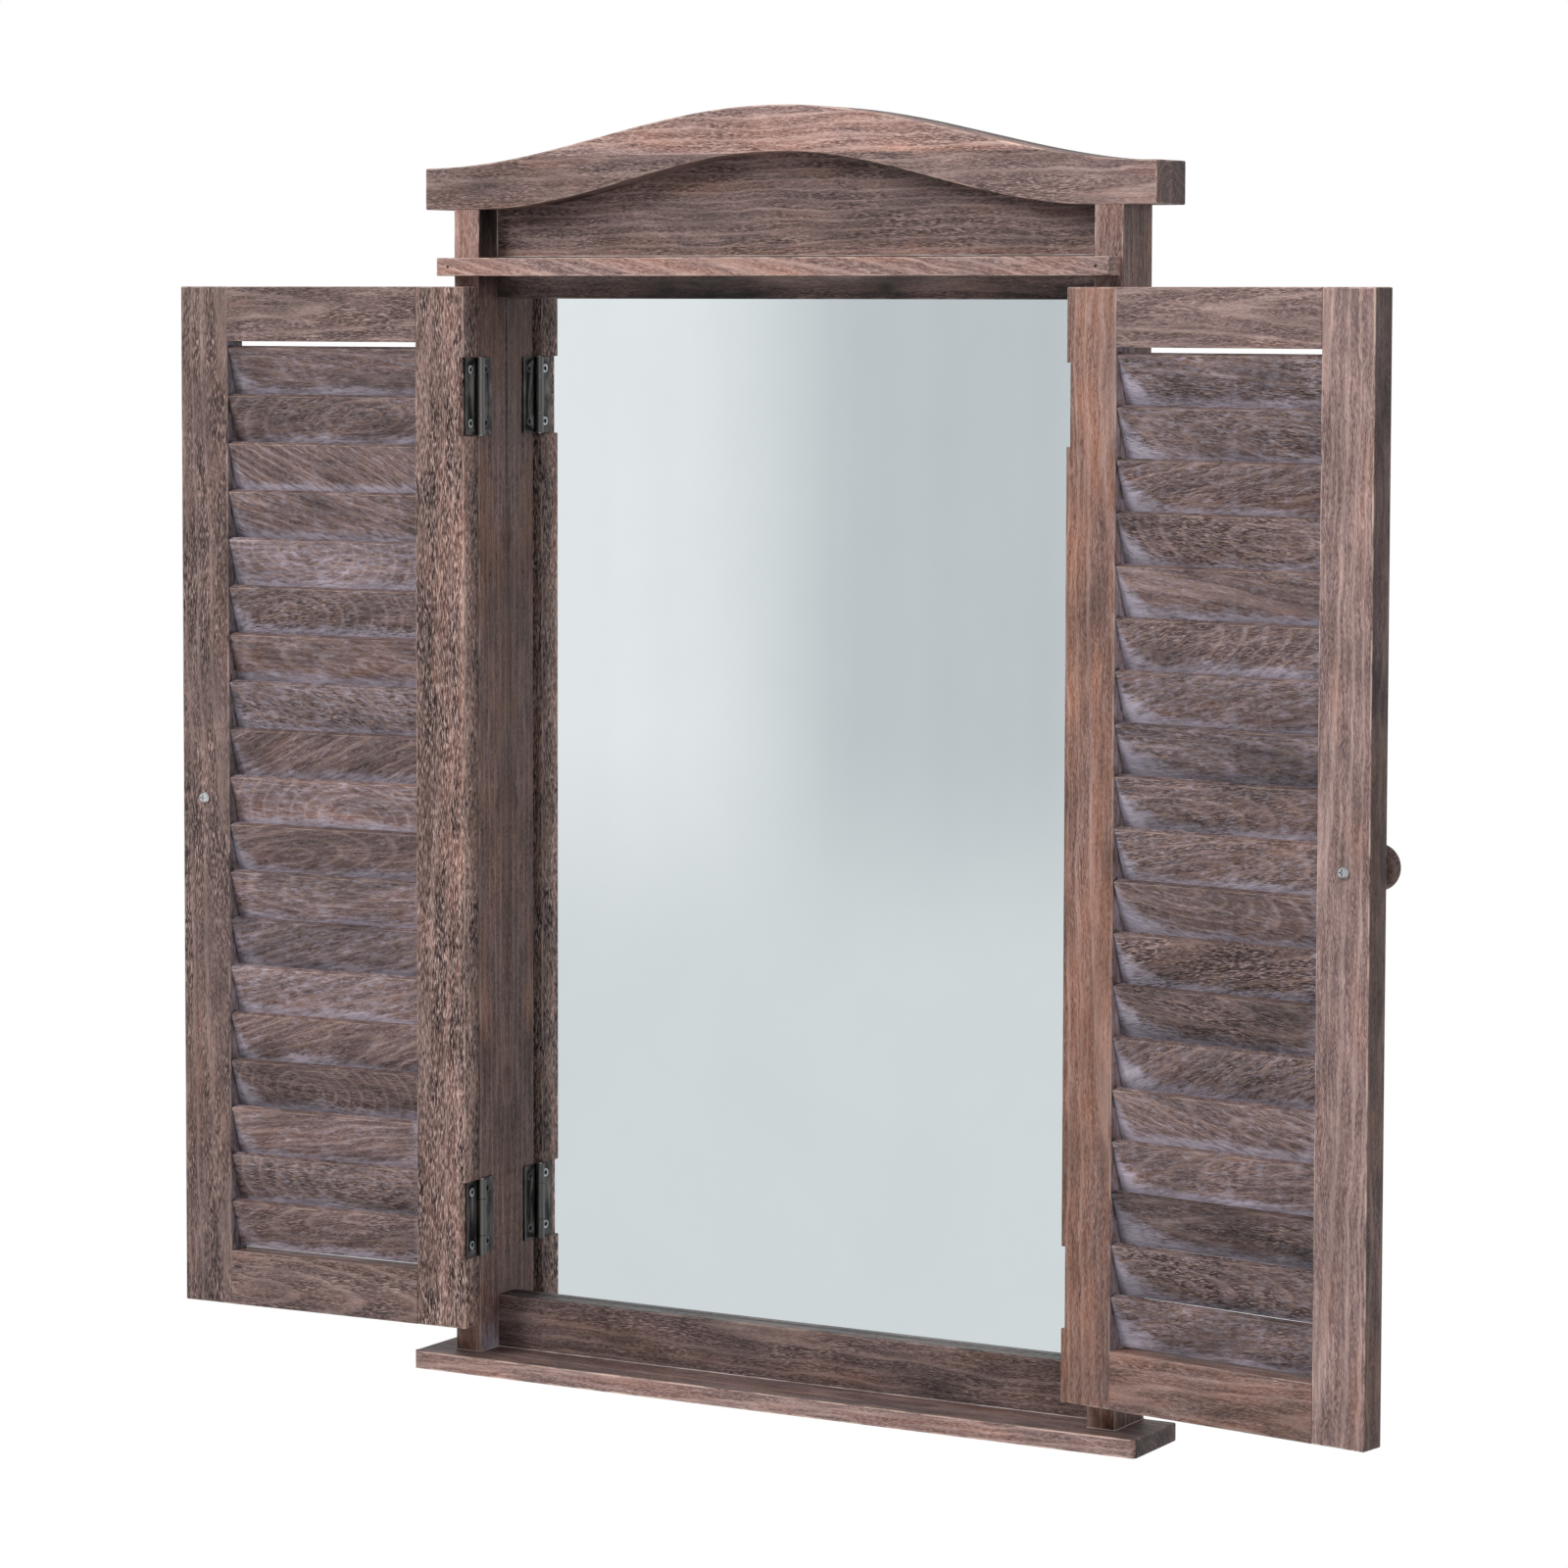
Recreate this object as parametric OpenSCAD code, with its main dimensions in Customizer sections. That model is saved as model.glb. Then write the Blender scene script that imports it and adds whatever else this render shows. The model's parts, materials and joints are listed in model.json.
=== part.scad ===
// Wall mirror in a window-style frame with a pair of louvred shutters.
// Seen from the front, X runs to the right and Y runs back into the wall. Z is up, the wall is
// the plane y = 0, and z = 0 is the line through the two hanging holes. The shutters stand open.

/* [Overall] */
// Width over the crown and the sill
overall_w = 454; // [446:1:470]
// Height from the underside of the sill to the top of the arch
overall_h = 710; // [700:1:730]

/* [Posts] */
// How far the crown and the sill stand out past the posts, on each side
overhang = 19; // [15:1:22]
// Width of one post, seen from the front
post_w = 16.5; // [15:0.5:20]
// Depth of one post, from the wall to its front
post_d = 35; // [33:1:40]

/* [Crown] */
// Thickness of the front board of the crown
crown_front_t = 19; // [15:0.5:22]
// Height of the crown at its two ends
crown_end_h = 23; // [18:1:28]
// How much higher the arch is than the ends
crown_top_rise = 32; // [24:1:36]
// Rise of the arch along the underside
crown_under_rise = 30; // [22:1:34]

/* [Sill] */
// Depth of the sill, from the wall to its front edge
sill_d = 50; // [44:1:60]
// Thickness of the sill
sill_t = 10; // [8:0.5:14]
// Rounding of the two front corners of the sill, seen from above
sill_corner_r = 3; // [1:0.5:6]

/* [Rails and panel] */
// Height of the bottom rail
rail_h = 30; // [26:1:36]
// Height of the header rail above the glass
header_h = 23.5; // [20:0.5:28]
// Distance from the header rail up to the underside of the crown, at the posts
panel_end_h = 26; // [22:1:30]
// How far the rails and the panel lie behind the fronts of the posts
rail_setback = 19; // [18.5:0.5:20]
// Thickness of the panel under the arch
panel_t = 10; // [6:0.5:12]
// Length of the tenons of the rails in the posts
frame_tenon_l = 6; // [4:0.5:6]

/* [Front strip] */
// Height of the strip across the posts
strip_h = 10; // [8:0.5:12]
// Distance from the top of the strip up to the joint between the header rail and the panel
strip_step = 1; // [0:0.5:4]
// How far the strip stands out from the posts
strip_d = 14; // [10:0.5:18]
// How far the strip's ends stand out past the posts
strip_over = 0.5; // [0:0.5:4]
// How far the strip is set off the middle, to the left
strip_off = 2; // [0:0.5:3]
// Distance from the ends of the strip to its nails
brad_inset = 7.5; // [6:0.5:9]

/* [Glass and back] */
// Thickness of the mirror glass
glass_t = 3; // [2:0.5:4]
// Thickness of the backing board
backing_t = 2.5; // [2:0.5:3]
// Depth of the rebate that holds the glass and its backing, from the wall
rebate_d = 7; // [6.8:0.2:8]
// Width of that rebate
rebate_w = 5; // [4:0.5:6]

/* [Shutters] */
// Gap between a shutter and the sill
shutter_lift = 17; // [14:1:30]
// Gap between a shutter and the strip above it
shutter_drop = 6; // [4:1:20]
// Thickness of a shutter
shutter_t = 16; // [15:0.5:16.5]
// Gap between the two closed shutters
meeting_gap = 1.6; // [1.6:0.2:4]
// Width of the stiles
stile_w = 31.5; // [28:0.5:36]
// Height of the top and bottom rails of a shutter
shutter_rail_h = 31; // [28:0.5:36]
// Length of the tenons of the shutter rails
shutter_tenon_l = 12; // [8:0.5:15]
// Angle between the closed and the present place of the left shutter
left_angle = 177.5; // [90:0.5:180]
// Angle between the closed and the present place of the right shutter
right_angle = 171; // [90:0.5:180]

/* [Louvres] */
// Largest distance from one slat to the next
slat_step = 27.4; // [26:0.1:31]
// Width of a slat, across its grain
slat_w = 29; // [26:0.5:29]
// Thickness of a slat
slat_t = 4.5; // [3.5:0.5:5]
// Tilt of the slats from upright
slat_tilt = 20; // [15:1:21]
// Slot above the top slat
slat_top_gap = 2.5; // [1.5:0.5:4]
// Slot under the bottom slat
slat_foot_gap = 1; // [0.5:0.5:4]
// Depth of the slat housings in the stiles
housing_d = 5; // [3:0.5:7]

/* [Hinges] */
// Length of a hinge
hinge_l = 43; // [36:1:50]
// Length of each outer knuckle
knuckle_end_l = 11; // [9:0.5:12]
// Width of a leaf, from the pin
leaf_w = 14; // [12:0.5:15]
// Thickness of a leaf
leaf_t = 1.1; // [0.8:0.1:1.2]
// Diameter of the knuckles
barrel_d = 4.8; // [4.6:0.1:4.8]
// Diameter of the hinge pin
hinge_pin_d = 2.2; // [1.8:0.1:2.4]
// Distance from the pin to the wood on both sides of it
pin_side = 2.7; // [2.7:0.1:3]
// Distance from the pin back to the front of the post
pin_front = 2.5; // [2.5:0.1:3]
// Distance from the ends of a shutter to the middle of its hinges
hinge_inset = 61; // [50:1:80]
// Distance from the pin to the screws of a leaf
leaf_screw_x = 8; // [7.5:0.5:9]
// Distance between the two screws of a leaf
leaf_screw_pitch = 30; // [26:1:31]

/* [Knobs] */
// Diameter of a knob
knob_d = 24; // [21:1:26]
// How far a knob stands out from its shutter
knob_h = 25; // [23:1:28]
// Diameter of the neck of a knob
knob_neck_d = 11; // [10:0.5:12]
// Distance from the free edge of a shutter to its knob
knob_inset = 15; // [14:0.5:18]
// Diameter of the head of a knob screw
knob_screw_head_d = 6.5; // [6:0.5:8]

/* [Hanging] */
// Distance from the ends of the crown down to the hanging holes
hang_drop = 25; // [24:1:60]
// Diameter of the round hole of a hanger, which lets a screw head in
hanger_hole_d = 8.5; // [8:0.5:9]
// Width of the slot that the screw hangs in
hanger_slot_w = 4.2; // [4:0.1:4.6]
// Thickness of a hanger plate
hanger_t = 1.5; // [1:0.1:2]
// Depth of the pocket for the screw head, behind a hanger plate
hanger_pocket_d = 8; // [6:0.5:8]

/* [Fits] */
// Gap between pieces that slide into each other before they are glued
fit_gap = 0.15; // [0.1:0.05:0.2]
// Gap round a nail or screw in its hole
screw_gap = 0.1; // [0.05:0.05:0.15]
// Gap round a hinge pin in its knuckles
pin_gap = 0.05; // [0.03:0.01:0.08]
// Gap between knuckles
knuckle_gap = 0.3; // [0.3:0.05:0.5]

/* [Hidden] */

$fn = 48;
over = 1;
curve_steps = 96;

// Holes for nails, pins and screws go this much deeper than what they hold
hole_end = 0.5;

// Heights here count from the underside of the sill, and at() turns one into a z
crown_base_h = overall_h - crown_top_rise - crown_end_h;
header_top_h = crown_base_h - panel_end_h;
header_bottom_h = header_top_h - header_h;
rail_top_h = sill_t + rail_h;
hang_h = crown_base_h - hang_drop;
function at(height) = height - hang_h;

// The frame, seen from above
frame_w = overall_w - 2 * overhang;
strip_w = frame_w + 2 * strip_over;
inner_x = frame_w / 2 - post_w;
post_x = frame_w / 2 - post_w / 2;
rail_y = post_d - rail_setback;
strip_bottom_h = header_top_h - strip_step - strip_h;

// The glass rests on the bottom rail and reaches into the rebates on all four sides
glass_bottom_h = rail_top_h - rebate_w;
glass_top_h = header_bottom_h + rebate_w;
glass_edge_gap = 0.5;
front_lip = rail_y - rebate_d;
glazing_pin_d = 1;
glazing_pin_l = 9;
glazing_pin_y = -rebate_d + glass_t + backing_t + glazing_pin_d / 2;
glazing_rows = 4;

// The tenons of the frame's rails, set back from the front and from the edges of the rail
frame_tenon_t = 5;
frame_tenon_cheek = 3;
frame_tenon_y = -rail_y + frame_tenon_cheek;
tenon_shoulder = 6;

// A shutter lies in its own frame: x runs from the pin to the free edge, y from the pin inwards
pin_x = inner_x - pin_side;
pin_y = -post_d - pin_front;
shutter_w = pin_x - meeting_gap / 2;
shutter_bottom_h = sill_t + shutter_lift;
shutter_top_h = strip_bottom_h - shutter_drop;
shutter_h = shutter_top_h - shutter_bottom_h;
shutter_mid_y = pin_front + shutter_t / 2;
upper_hinge_h = shutter_top_h - hinge_inset;
lower_hinge_h = shutter_bottom_h + hinge_inset;
knob_height = shutter_bottom_h + shutter_h / 2;
knob_x = shutter_w - knob_inset;

// A tilted slat takes this much height, and the pitch spreads them between the two rails
slat_span_h = slat_w * cos(slat_tilt) + slat_t * sin(slat_tilt);
slat_room_h = shutter_h - 2 * shutter_rail_h - slat_top_gap - slat_foot_gap - slat_span_h;
slat_count = 1 + ceil(slat_room_h / slat_step);
slat_pitch = slat_room_h / (slat_count - 1);
slat_first_h = shutter_bottom_h + shutter_rail_h + slat_foot_gap + slat_span_h / 2;
slat_end_play = 0.5;
tenon_share = 0.34;
slat_l = shutter_w - 2 * stile_w + 2 * (housing_d - slat_end_play);

// Small metal
leaf_screw_d = 2.5;
leaf_screw_head_d = 4.8;
leaf_screw_l = 12;
mortise_end_gap = 0.4;
pin_proud = 0.5;
pin_chamfer = 0.4;
knob_screw_d = 3.8;
knob_screw_bite = 12;
knob_screw_l = shutter_t + knob_screw_bite;
knob_foot_t = 2;
knob_foot_rim = 2;
knob_screw_head_h = 2.6;
sill_screw_d = 3.6;
sill_screw_head_d = 7;
post_screw_l = 40;
rail_screw_l = 28;
rail_screw_x = inner_x / 2;
sill_screw_y = -post_d / 2;
rail_screw_y = -rail_y + front_lip / 2;
nail_d = 1.8;
nail_head_d = 3.2;
nail_head_t = 0.8;
nail_sunk = 0.6;
nail_l = 44;
nail_edge = 3;
nail_x = post_x + nail_edge;
front_nail_y = -(post_d + rail_y) / 2;
back_nail_y = -rail_y + nail_edge;
brad_d = 1.6;
brad_l = 28;
brad_sunk = 0.6;
brad_height = strip_bottom_h + strip_h / 2;

// Hanger plates, with heights from the hanging hole
hanger_margin = 1.5;
hanger_w = post_w - 2 * hanger_margin;
hanger_low = -15;
hanger_high = 23;
hanger_slot_top = 9;
head_play = 0.35;
hanger_screw_z = [-10, 18];
hanger_screw_d = 2.4;
hanger_screw_head_d = 5;
hanger_screw_l = 10;

WOOD = "#6b5149";
WOOD_LIGHT = "#8b6a5c";
WOOD_DARK = "#4f3d38";
STEEL = "#b9bab8";
BRONZE = "#4a4642";

module block(low, high) {
    translate(low) cube(high - low);
}

// Puts a thing drawn for the left side on the left or on the right
module on_side(side) {
    if (side == "left") children();
    else mirror([1, 0, 0]) children();
}

// Draws its child from the left pin, or the right one, without turning it
module at_pin(side) {
    on_side(side) translate([-pin_x, pin_y, 0]) children();
}

// Draws its child on the open shutter
module on_shutter(side) {
    opening = side == "left" ? left_angle : right_angle;
    at_pin(side) rotate([0, 0, -opening]) children();
}

// A round bar along y or z, that starts at a point
module bar_y(start, length, d) {
    translate(start) rotate([-90, 0, 0]) cylinder(h = length, d = d);
}

module bar_z(start, length, d) {
    translate(start) cylinder(h = length, d = d);
}

// A countersunk screw that points down -z, with the top of its head at the origin
module flat_screw(head_d, d, length, head_h) {
    tip = d;
    difference() {
        union() {
            translate([0, 0, -head_h]) cylinder(h = head_h, d1 = d, d2 = head_d);
            translate([0, 0, -length + tip]) cylinder(h = length - tip - head_h, d = d);
            translate([0, 0, -length]) cylinder(h = tip, d1 = 0.4, d2 = d);
        }
        cross_recess(head_d * 0.62, head_d * 0.13, head_h * 0.55);
    }
}

module cross_recess(span, width, depth) {
    for (turn = [0, 90]) {
        rotate([0, 0, turn]) translate([-span / 2, -width / 2, -depth]) cube([span, width, depth + over]);
    }
}

// The hole for that screw: a cone for the head, and a round hole for the shank
module flat_screw_hole(head_d, d, length, head_h) {
    wide = 2 * screw_gap;
    translate([0, 0, -head_h]) cylinder(h = head_h, d1 = d + wide, d2 = head_d + wide);
    translate([0, 0, -0.001]) cylinder(h = over, d = head_d + wide);
    translate([0, 0, -length - hole_end]) cylinder(h = length + hole_end, d = d + wide);
}

// A nail that points down -z, with the top of its head at the origin
module nail(head_d, d, length) {
    translate([0, 0, -nail_head_t]) cylinder(h = nail_head_t, d = head_d);
    translate([0, 0, -length + d]) cylinder(h = length - d - nail_head_t, d = d);
    translate([0, 0, -length]) cylinder(h = d, d1 = 0.3, d2 = d);
}

module nail_hole(head_d, d, length) {
    translate([0, 0, -nail_head_t]) cylinder(h = nail_head_t + nail_sunk + over, d = head_d + 2 * screw_gap);
    translate([0, 0, -length - hole_end]) cylinder(h = length + hole_end, d = d + 2 * screw_gap);
}

// Heights of the crown's two edges above the underside of the sill, at a distance from the middle
function swell(x, half) = (1 + cos(180 * x / half)) / 2;
function crown_top_h(x) = crown_base_h + crown_end_h + crown_top_rise * swell(x, overall_w / 2);
function crown_under_h(x) = crown_base_h + crown_under_rise * swell(x, inner_x);

function under_points() = [
    for (i = [0 : curve_steps]) let (x = inner_x - 2 * inner_x * i / curve_steps) [x, at(crown_under_h(x))]
];

module crown_outline() {
    half = overall_w / 2;
    top = [for (i = [0 : curve_steps]) let (x = -half + 2 * half * i / curve_steps) [x, at(crown_top_h(x))]];
    base = at(crown_base_h);
    polygon(concat(top, [[half, base]], under_points(), [[-half, base]]));
}

// Stands an outline drawn in x and z upright, between two depths from the wall
module board(back, front) {
    translate([0, -back, 0]) rotate([90, 0, 0]) linear_extrude(front - back) children();
}

module crown_nail_places() {
    for (x = [-nail_x, nail_x], y = [front_nail_y, back_nail_y]) {
        translate([x, y, at(crown_top_h(nail_x)) - nail_sunk]) children();
    }
}

module crown_nail_holes() {
    crown_nail_places() nail_hole(nail_head_d, nail_d, nail_l);
}

module crown_front_board() {
    color(WOOD_LIGHT) difference() {
        board(post_d - crown_front_t, post_d) crown_outline();
        crown_nail_holes();
    }
}

module crown_back_board() {
    color(WOOD_DARK) difference() {
        board(0, post_d - crown_front_t) crown_outline();
        crown_nail_holes();
    }
}

module crown_nails() {
    color(BRONZE) crown_nail_places() nail(nail_head_d, nail_d, nail_l);
}

module pediment_panel() {
    top = at(header_top_h);
    color(WOOD) board(rail_y - panel_t, rail_y)
        polygon(concat(under_points(), [[-inner_x, top], [inner_x, top]]));
}

// A rail between the posts, with a tenon at each end
module frame_rail(low_h, high_h) {
    block([-inner_x, -rail_y, at(low_h)], [inner_x, 0, at(high_h)]);
    frame_tenons(low_h, high_h, 0);
}

module frame_tenons(low_h, high_h, gap) {
    half = inner_x + frame_tenon_l + 2 * gap;
    block([-half, frame_tenon_y - gap, at(low_h + tenon_shoulder) - gap],
        [half, frame_tenon_y + frame_tenon_t + gap, at(high_h - tenon_shoulder) + gap]);
}

module glass_rebate() {
    half = inner_x + rebate_w;
    block([-half, -rebate_d, at(glass_bottom_h)], [half, over, at(glass_top_h)]);
}

module bottom_rail() {
    color(WOOD) difference() {
        frame_rail(sill_t, rail_top_h);
        glass_rebate();
        glazing_pin_holes();
        sill_screw_holes();
    }
}

module header_rail() {
    color(WOOD_DARK) difference() {
        frame_rail(header_bottom_h, header_top_h);
        glass_rebate();
        glazing_pin_holes();
    }
}

module mirror_glass() {
    half = inner_x + rebate_w - glass_edge_gap;
    color([0.72, 0.76, 0.78])
        block([-half, -rebate_d, at(glass_bottom_h)],
            [half, -rebate_d + glass_t, at(glass_top_h - glass_edge_gap)]);
}

module backing_board() {
    half = inner_x + rebate_w - glass_edge_gap;
    front = -rebate_d + glass_t;
    color("#a08663")
        block([-half, front, at(glass_bottom_h)],
            [half, front + backing_t, at(glass_top_h - glass_edge_gap)]);
}

// Headless pins, half in the wood of the rebate and half behind the backing board
module glazing_pin_set(d, extra) {
    reach = glazing_pin_l / 2;
    step = (glass_top_h - glass_bottom_h) / glazing_rows;
    for (i = [0 : glazing_rows - 1], side = [-1, 1]) {
        translate([side * (inner_x + rebate_w), glazing_pin_y, at(glass_bottom_h + step * (i + 0.5))])
            rotate([0, 90 * side, 0]) translate([0, 0, -reach]) cylinder(h = 2 * reach + extra, d = d);
    }
    for (x = [-inner_x / 2, inner_x / 2]) {
        bar_z([x, glazing_pin_y, at(glass_bottom_h) - reach - extra], 2 * reach + extra, d);
        bar_z([x, glazing_pin_y, at(glass_top_h) - reach], 2 * reach + extra, d);
    }
}

module glazing_pin_holes() {
    glazing_pin_set(glazing_pin_d + screw_gap, hole_end);
}

module glazing_pins() {
    color(STEEL) glazing_pin_set(glazing_pin_d, 0);
}

module sill_screw_places() {
    for (x = [-post_x, post_x]) {
        translate([x, sill_screw_y, at(0)]) rotate([180, 0, 0]) children(0);
    }
    for (x = [-rail_screw_x, rail_screw_x]) {
        translate([x, rail_screw_y, at(0)]) rotate([180, 0, 0]) children(1);
    }
}

module sill_screw_holes() {
    head_h = (sill_screw_head_d - sill_screw_d) / 2;
    sill_screw_places() {
        flat_screw_hole(sill_screw_head_d, sill_screw_d, post_screw_l, head_h);
        flat_screw_hole(sill_screw_head_d, sill_screw_d, rail_screw_l, head_h);
    }
}

module sill_screws() {
    head_h = (sill_screw_head_d - sill_screw_d) / 2;
    color(STEEL) sill_screw_places() {
        flat_screw(sill_screw_head_d, sill_screw_d, post_screw_l, head_h);
        flat_screw(sill_screw_head_d, sill_screw_d, rail_screw_l, head_h);
    }
}

module sill() {
    half = overall_w / 2;
    r = sill_corner_r;
    color(WOOD) difference() {
        translate([0, 0, at(0)]) linear_extrude(sill_t) {
            translate([-half, -sill_d + r]) square([2 * half, sill_d - r]);
            translate([-half + r, -sill_d]) square([2 * half - 2 * r, sill_d]);
            for (x = [-half + r, half - r]) {
                translate([x, -sill_d + r]) circle(r = r);
            }
        }
        sill_screw_holes();
    }
}

module brad_places() {
    reach = strip_w / 2 - brad_inset;
    for (x = [-strip_off - reach, -strip_off + reach]) {
        translate([x, -post_d - strip_d + brad_sunk, at(brad_height)]) rotate([90, 0, 0]) children();
    }
}

module brad_holes() {
    brad_places() nail_hole(brad_d, brad_d, brad_l);
}

module strip_brads() {
    color(BRONZE) brad_places() nail(brad_d, brad_d, brad_l);
}

module front_strip() {
    color(WOOD_LIGHT) difference() {
        block([-strip_off - strip_w / 2, -post_d - strip_d, at(strip_bottom_h)],
            [-strip_off + strip_w / 2, -post_d, at(strip_bottom_h + strip_h)]);
        brad_holes();
    }
}

// The keyhole of a hanger plate, and the wider pocket behind it
module keyhole(hole_d, slot_w) {
    circle(d = hole_d);
    translate([-slot_w / 2, 0]) square([slot_w, hanger_slot_top]);
    translate([0, hanger_slot_top]) circle(d = slot_w);
}

module hanger_plate_outline(gap) {
    translate([-hanger_w / 2 - gap, hanger_low - gap])
        square([hanger_w + 2 * gap, hanger_high - hanger_low + 2 * gap]);
}

module hanger_screw_places() {
    for (z = hanger_screw_z) {
        translate([-post_x, 0, z]) rotate([-90, 0, 0]) children();
    }
}

module hanger_screw_holes() {
    head_h = (hanger_screw_head_d - hanger_screw_d) / 2;
    hanger_screw_places() flat_screw_hole(hanger_screw_head_d, hanger_screw_d, hanger_screw_l, head_h);
}

module hanger(side) {
    color(STEEL) on_side(side) difference() {
        translate([-post_x, 0, 0]) board(0, hanger_t) difference() {
            hanger_plate_outline(0);
            keyhole(hanger_hole_d, hanger_slot_w);
        }
        hanger_screw_holes();
    }
}

module hanger_screws() {
    head_h = (hanger_screw_head_d - hanger_screw_d) / 2;
    color(STEEL) for (side = ["left", "right"]) {
        on_side(side) hanger_screw_places()
            flat_screw(hanger_screw_head_d, hanger_screw_d, hanger_screw_l, head_h);
    }
}

module hanger_pocket() {
    head_room = hanger_hole_d + 2 * head_play;
    translate([-post_x, 0, 0]) {
        board(-over, hanger_t) hanger_plate_outline(fit_gap);
        board(0, hanger_t + hanger_pocket_d) keyhole(head_room, head_room);
    }
    hanger_screw_holes();
}

module post(side) {
    color(WOOD_LIGHT) difference() {
        on_side(side) difference() {
            block([-frame_w / 2, -post_d, at(sill_t)], [-inner_x, 0, at(crown_base_h)]);
            glass_rebate();
            frame_tenons(sill_t, rail_top_h, fit_gap);
            frame_tenons(header_bottom_h, header_top_h, fit_gap);
            hanger_pocket();
            for (height = [lower_hinge_h, upper_hinge_h]) {
                translate([-pin_x, pin_y, at(height)]) post_leaf_screw_holes();
            }
        }
        crown_nail_holes();
        glazing_pin_holes();
        sill_screw_holes();
        brad_holes();
    }
}

// Hinge parts lie round the pin, with z = 0 at the middle of the hinge
module barrel(low, high) {
    bar_z([0, 0, low], high - low, barrel_d);
}

// Cuts a leaf back where the other leaf has its knuckle
module knuckle_room(low, high) {
    bar_z([0, 0, low], high - low, barrel_d + 2 * knuckle_gap);
}

module pin_bore() {
    bar_z([0, 0, -hinge_l / 2 - over], hinge_l + 2 * over, hinge_pin_d + 2 * pin_gap);
}

module post_leaf_screw_places() {
    for (z = [-leaf_screw_pitch / 2, leaf_screw_pitch / 2]) {
        translate([-pin_side + leaf_t, leaf_screw_x, z]) rotate([0, 90, 0]) children();
    }
}

module shutter_leaf_screw_places() {
    for (z = [-leaf_screw_pitch / 2, leaf_screw_pitch / 2]) {
        translate([pin_side - leaf_t, leaf_screw_x, z]) rotate([0, -90, 0]) children();
    }
}

module post_leaf_screw_holes() {
    post_leaf_screw_places() flat_screw_hole(leaf_screw_head_d, leaf_screw_d, leaf_screw_l, leaf_t);
}

module shutter_leaf_screw_holes() {
    shutter_leaf_screw_places() flat_screw_hole(leaf_screw_head_d, leaf_screw_d, leaf_screw_l, leaf_t);
}

module post_leaf() {
    half = hinge_l / 2;
    inner = half - knuckle_end_l;
    difference() {
        union() {
            difference() {
                block([-pin_side, 0, -half], [-pin_side + leaf_t, leaf_w, half]);
                knuckle_room(-inner, inner);
            }
            barrel(-half, -inner);
            barrel(inner, half);
        }
        pin_bore();
        post_leaf_screw_holes();
    }
}

module shutter_leaf() {
    half = hinge_l / 2;
    inner = half - knuckle_end_l;
    difference() {
        union() {
            difference() {
                block([pin_side - leaf_t, 0, -half], [pin_side, leaf_w, half]);
                knuckle_room(-half - over, -inner + knuckle_gap);
                knuckle_room(inner - knuckle_gap, half + over);
            }
            barrel(-inner + knuckle_gap, inner - knuckle_gap);
        }
        pin_bore();
        shutter_leaf_screw_holes();
    }
}

module hinge_pin() {
    length = hinge_l + 2 * pin_proud;
    bar_z([0, 0, -length / 2 + pin_chamfer], length - 2 * pin_chamfer, hinge_pin_d);
    for (flip = [0, 180]) {
        rotate([flip, 0, 0]) translate([0, 0, length / 2 - pin_chamfer])
            cylinder(h = pin_chamfer, d1 = hinge_pin_d, d2 = hinge_pin_d - 2 * pin_chamfer);
    }
}

module placed_post_leaf(side, height) {
    color(BRONZE) at_pin(side) translate([0, 0, at(height)]) post_leaf();
}

module placed_shutter_leaf(side, height) {
    color(BRONZE) on_shutter(side) translate([0, 0, at(height)]) shutter_leaf();
}

module placed_pin(side, height) {
    color(STEEL) at_pin(side) translate([0, 0, at(height)]) hinge_pin();
}

module post_leaf_screws(side) {
    color(STEEL) for (height = [lower_hinge_h, upper_hinge_h]) {
        at_pin(side) translate([0, 0, at(height)]) post_leaf_screw_places()
            flat_screw(leaf_screw_head_d, leaf_screw_d, leaf_screw_l, leaf_t);
    }
}

module shutter_leaf_screws(side) {
    color(STEEL) for (height = [lower_hinge_h, upper_hinge_h]) {
        on_shutter(side) translate([0, 0, at(height)]) shutter_leaf_screw_places()
            flat_screw(leaf_screw_head_d, leaf_screw_d, leaf_screw_l, leaf_t);
    }
}

// Shutter parts, in the frame of the shutter
module hinge_mortises() {
    half = hinge_l / 2 + mortise_end_gap;
    for (height = [lower_hinge_h, upper_hinge_h]) {
        block([-over, pin_front - over, at(height) - half],
            [pin_side, pin_front + shutter_t + over, at(height) + half]);
        translate([0, 0, at(height)]) shutter_leaf_screw_holes();
    }
}

module shutter_tenons(low_h, gap) {
    thick = shutter_t * tenon_share;
    block([stile_w - shutter_tenon_l - 2 * gap, shutter_mid_y - thick / 2 - gap,
            at(low_h + tenon_shoulder) - gap],
        [shutter_w - stile_w + shutter_tenon_l + 2 * gap, shutter_mid_y + thick / 2 + gap,
            at(low_h + shutter_rail_h - tenon_shoulder) + gap]);
}

module slat_bars(length, gap) {
    middle = shutter_w / 2;
    for (i = [0 : slat_count - 1]) {
        translate([middle, shutter_mid_y, at(slat_first_h + i * slat_pitch)]) rotate([-slat_tilt, 0, 0])
            cube([length, slat_t + 2 * gap, slat_w + 2 * gap], center = true);
    }
}

module stile_cuts() {
    shutter_tenons(shutter_bottom_h, fit_gap);
    shutter_tenons(shutter_top_h - shutter_rail_h, fit_gap);
    slat_bars(shutter_w - 2 * stile_w + 2 * housing_d, fit_gap);
}

module stile_block(low_x, high_x) {
    block([low_x, pin_front, at(shutter_bottom_h)],
        [high_x, pin_front + shutter_t, at(shutter_top_h)]);
}

module hinge_stile(side) {
    color(WOOD_LIGHT) on_shutter(side) difference() {
        stile_block(0, stile_w);
        stile_cuts();
        hinge_mortises();
    }
}

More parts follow.
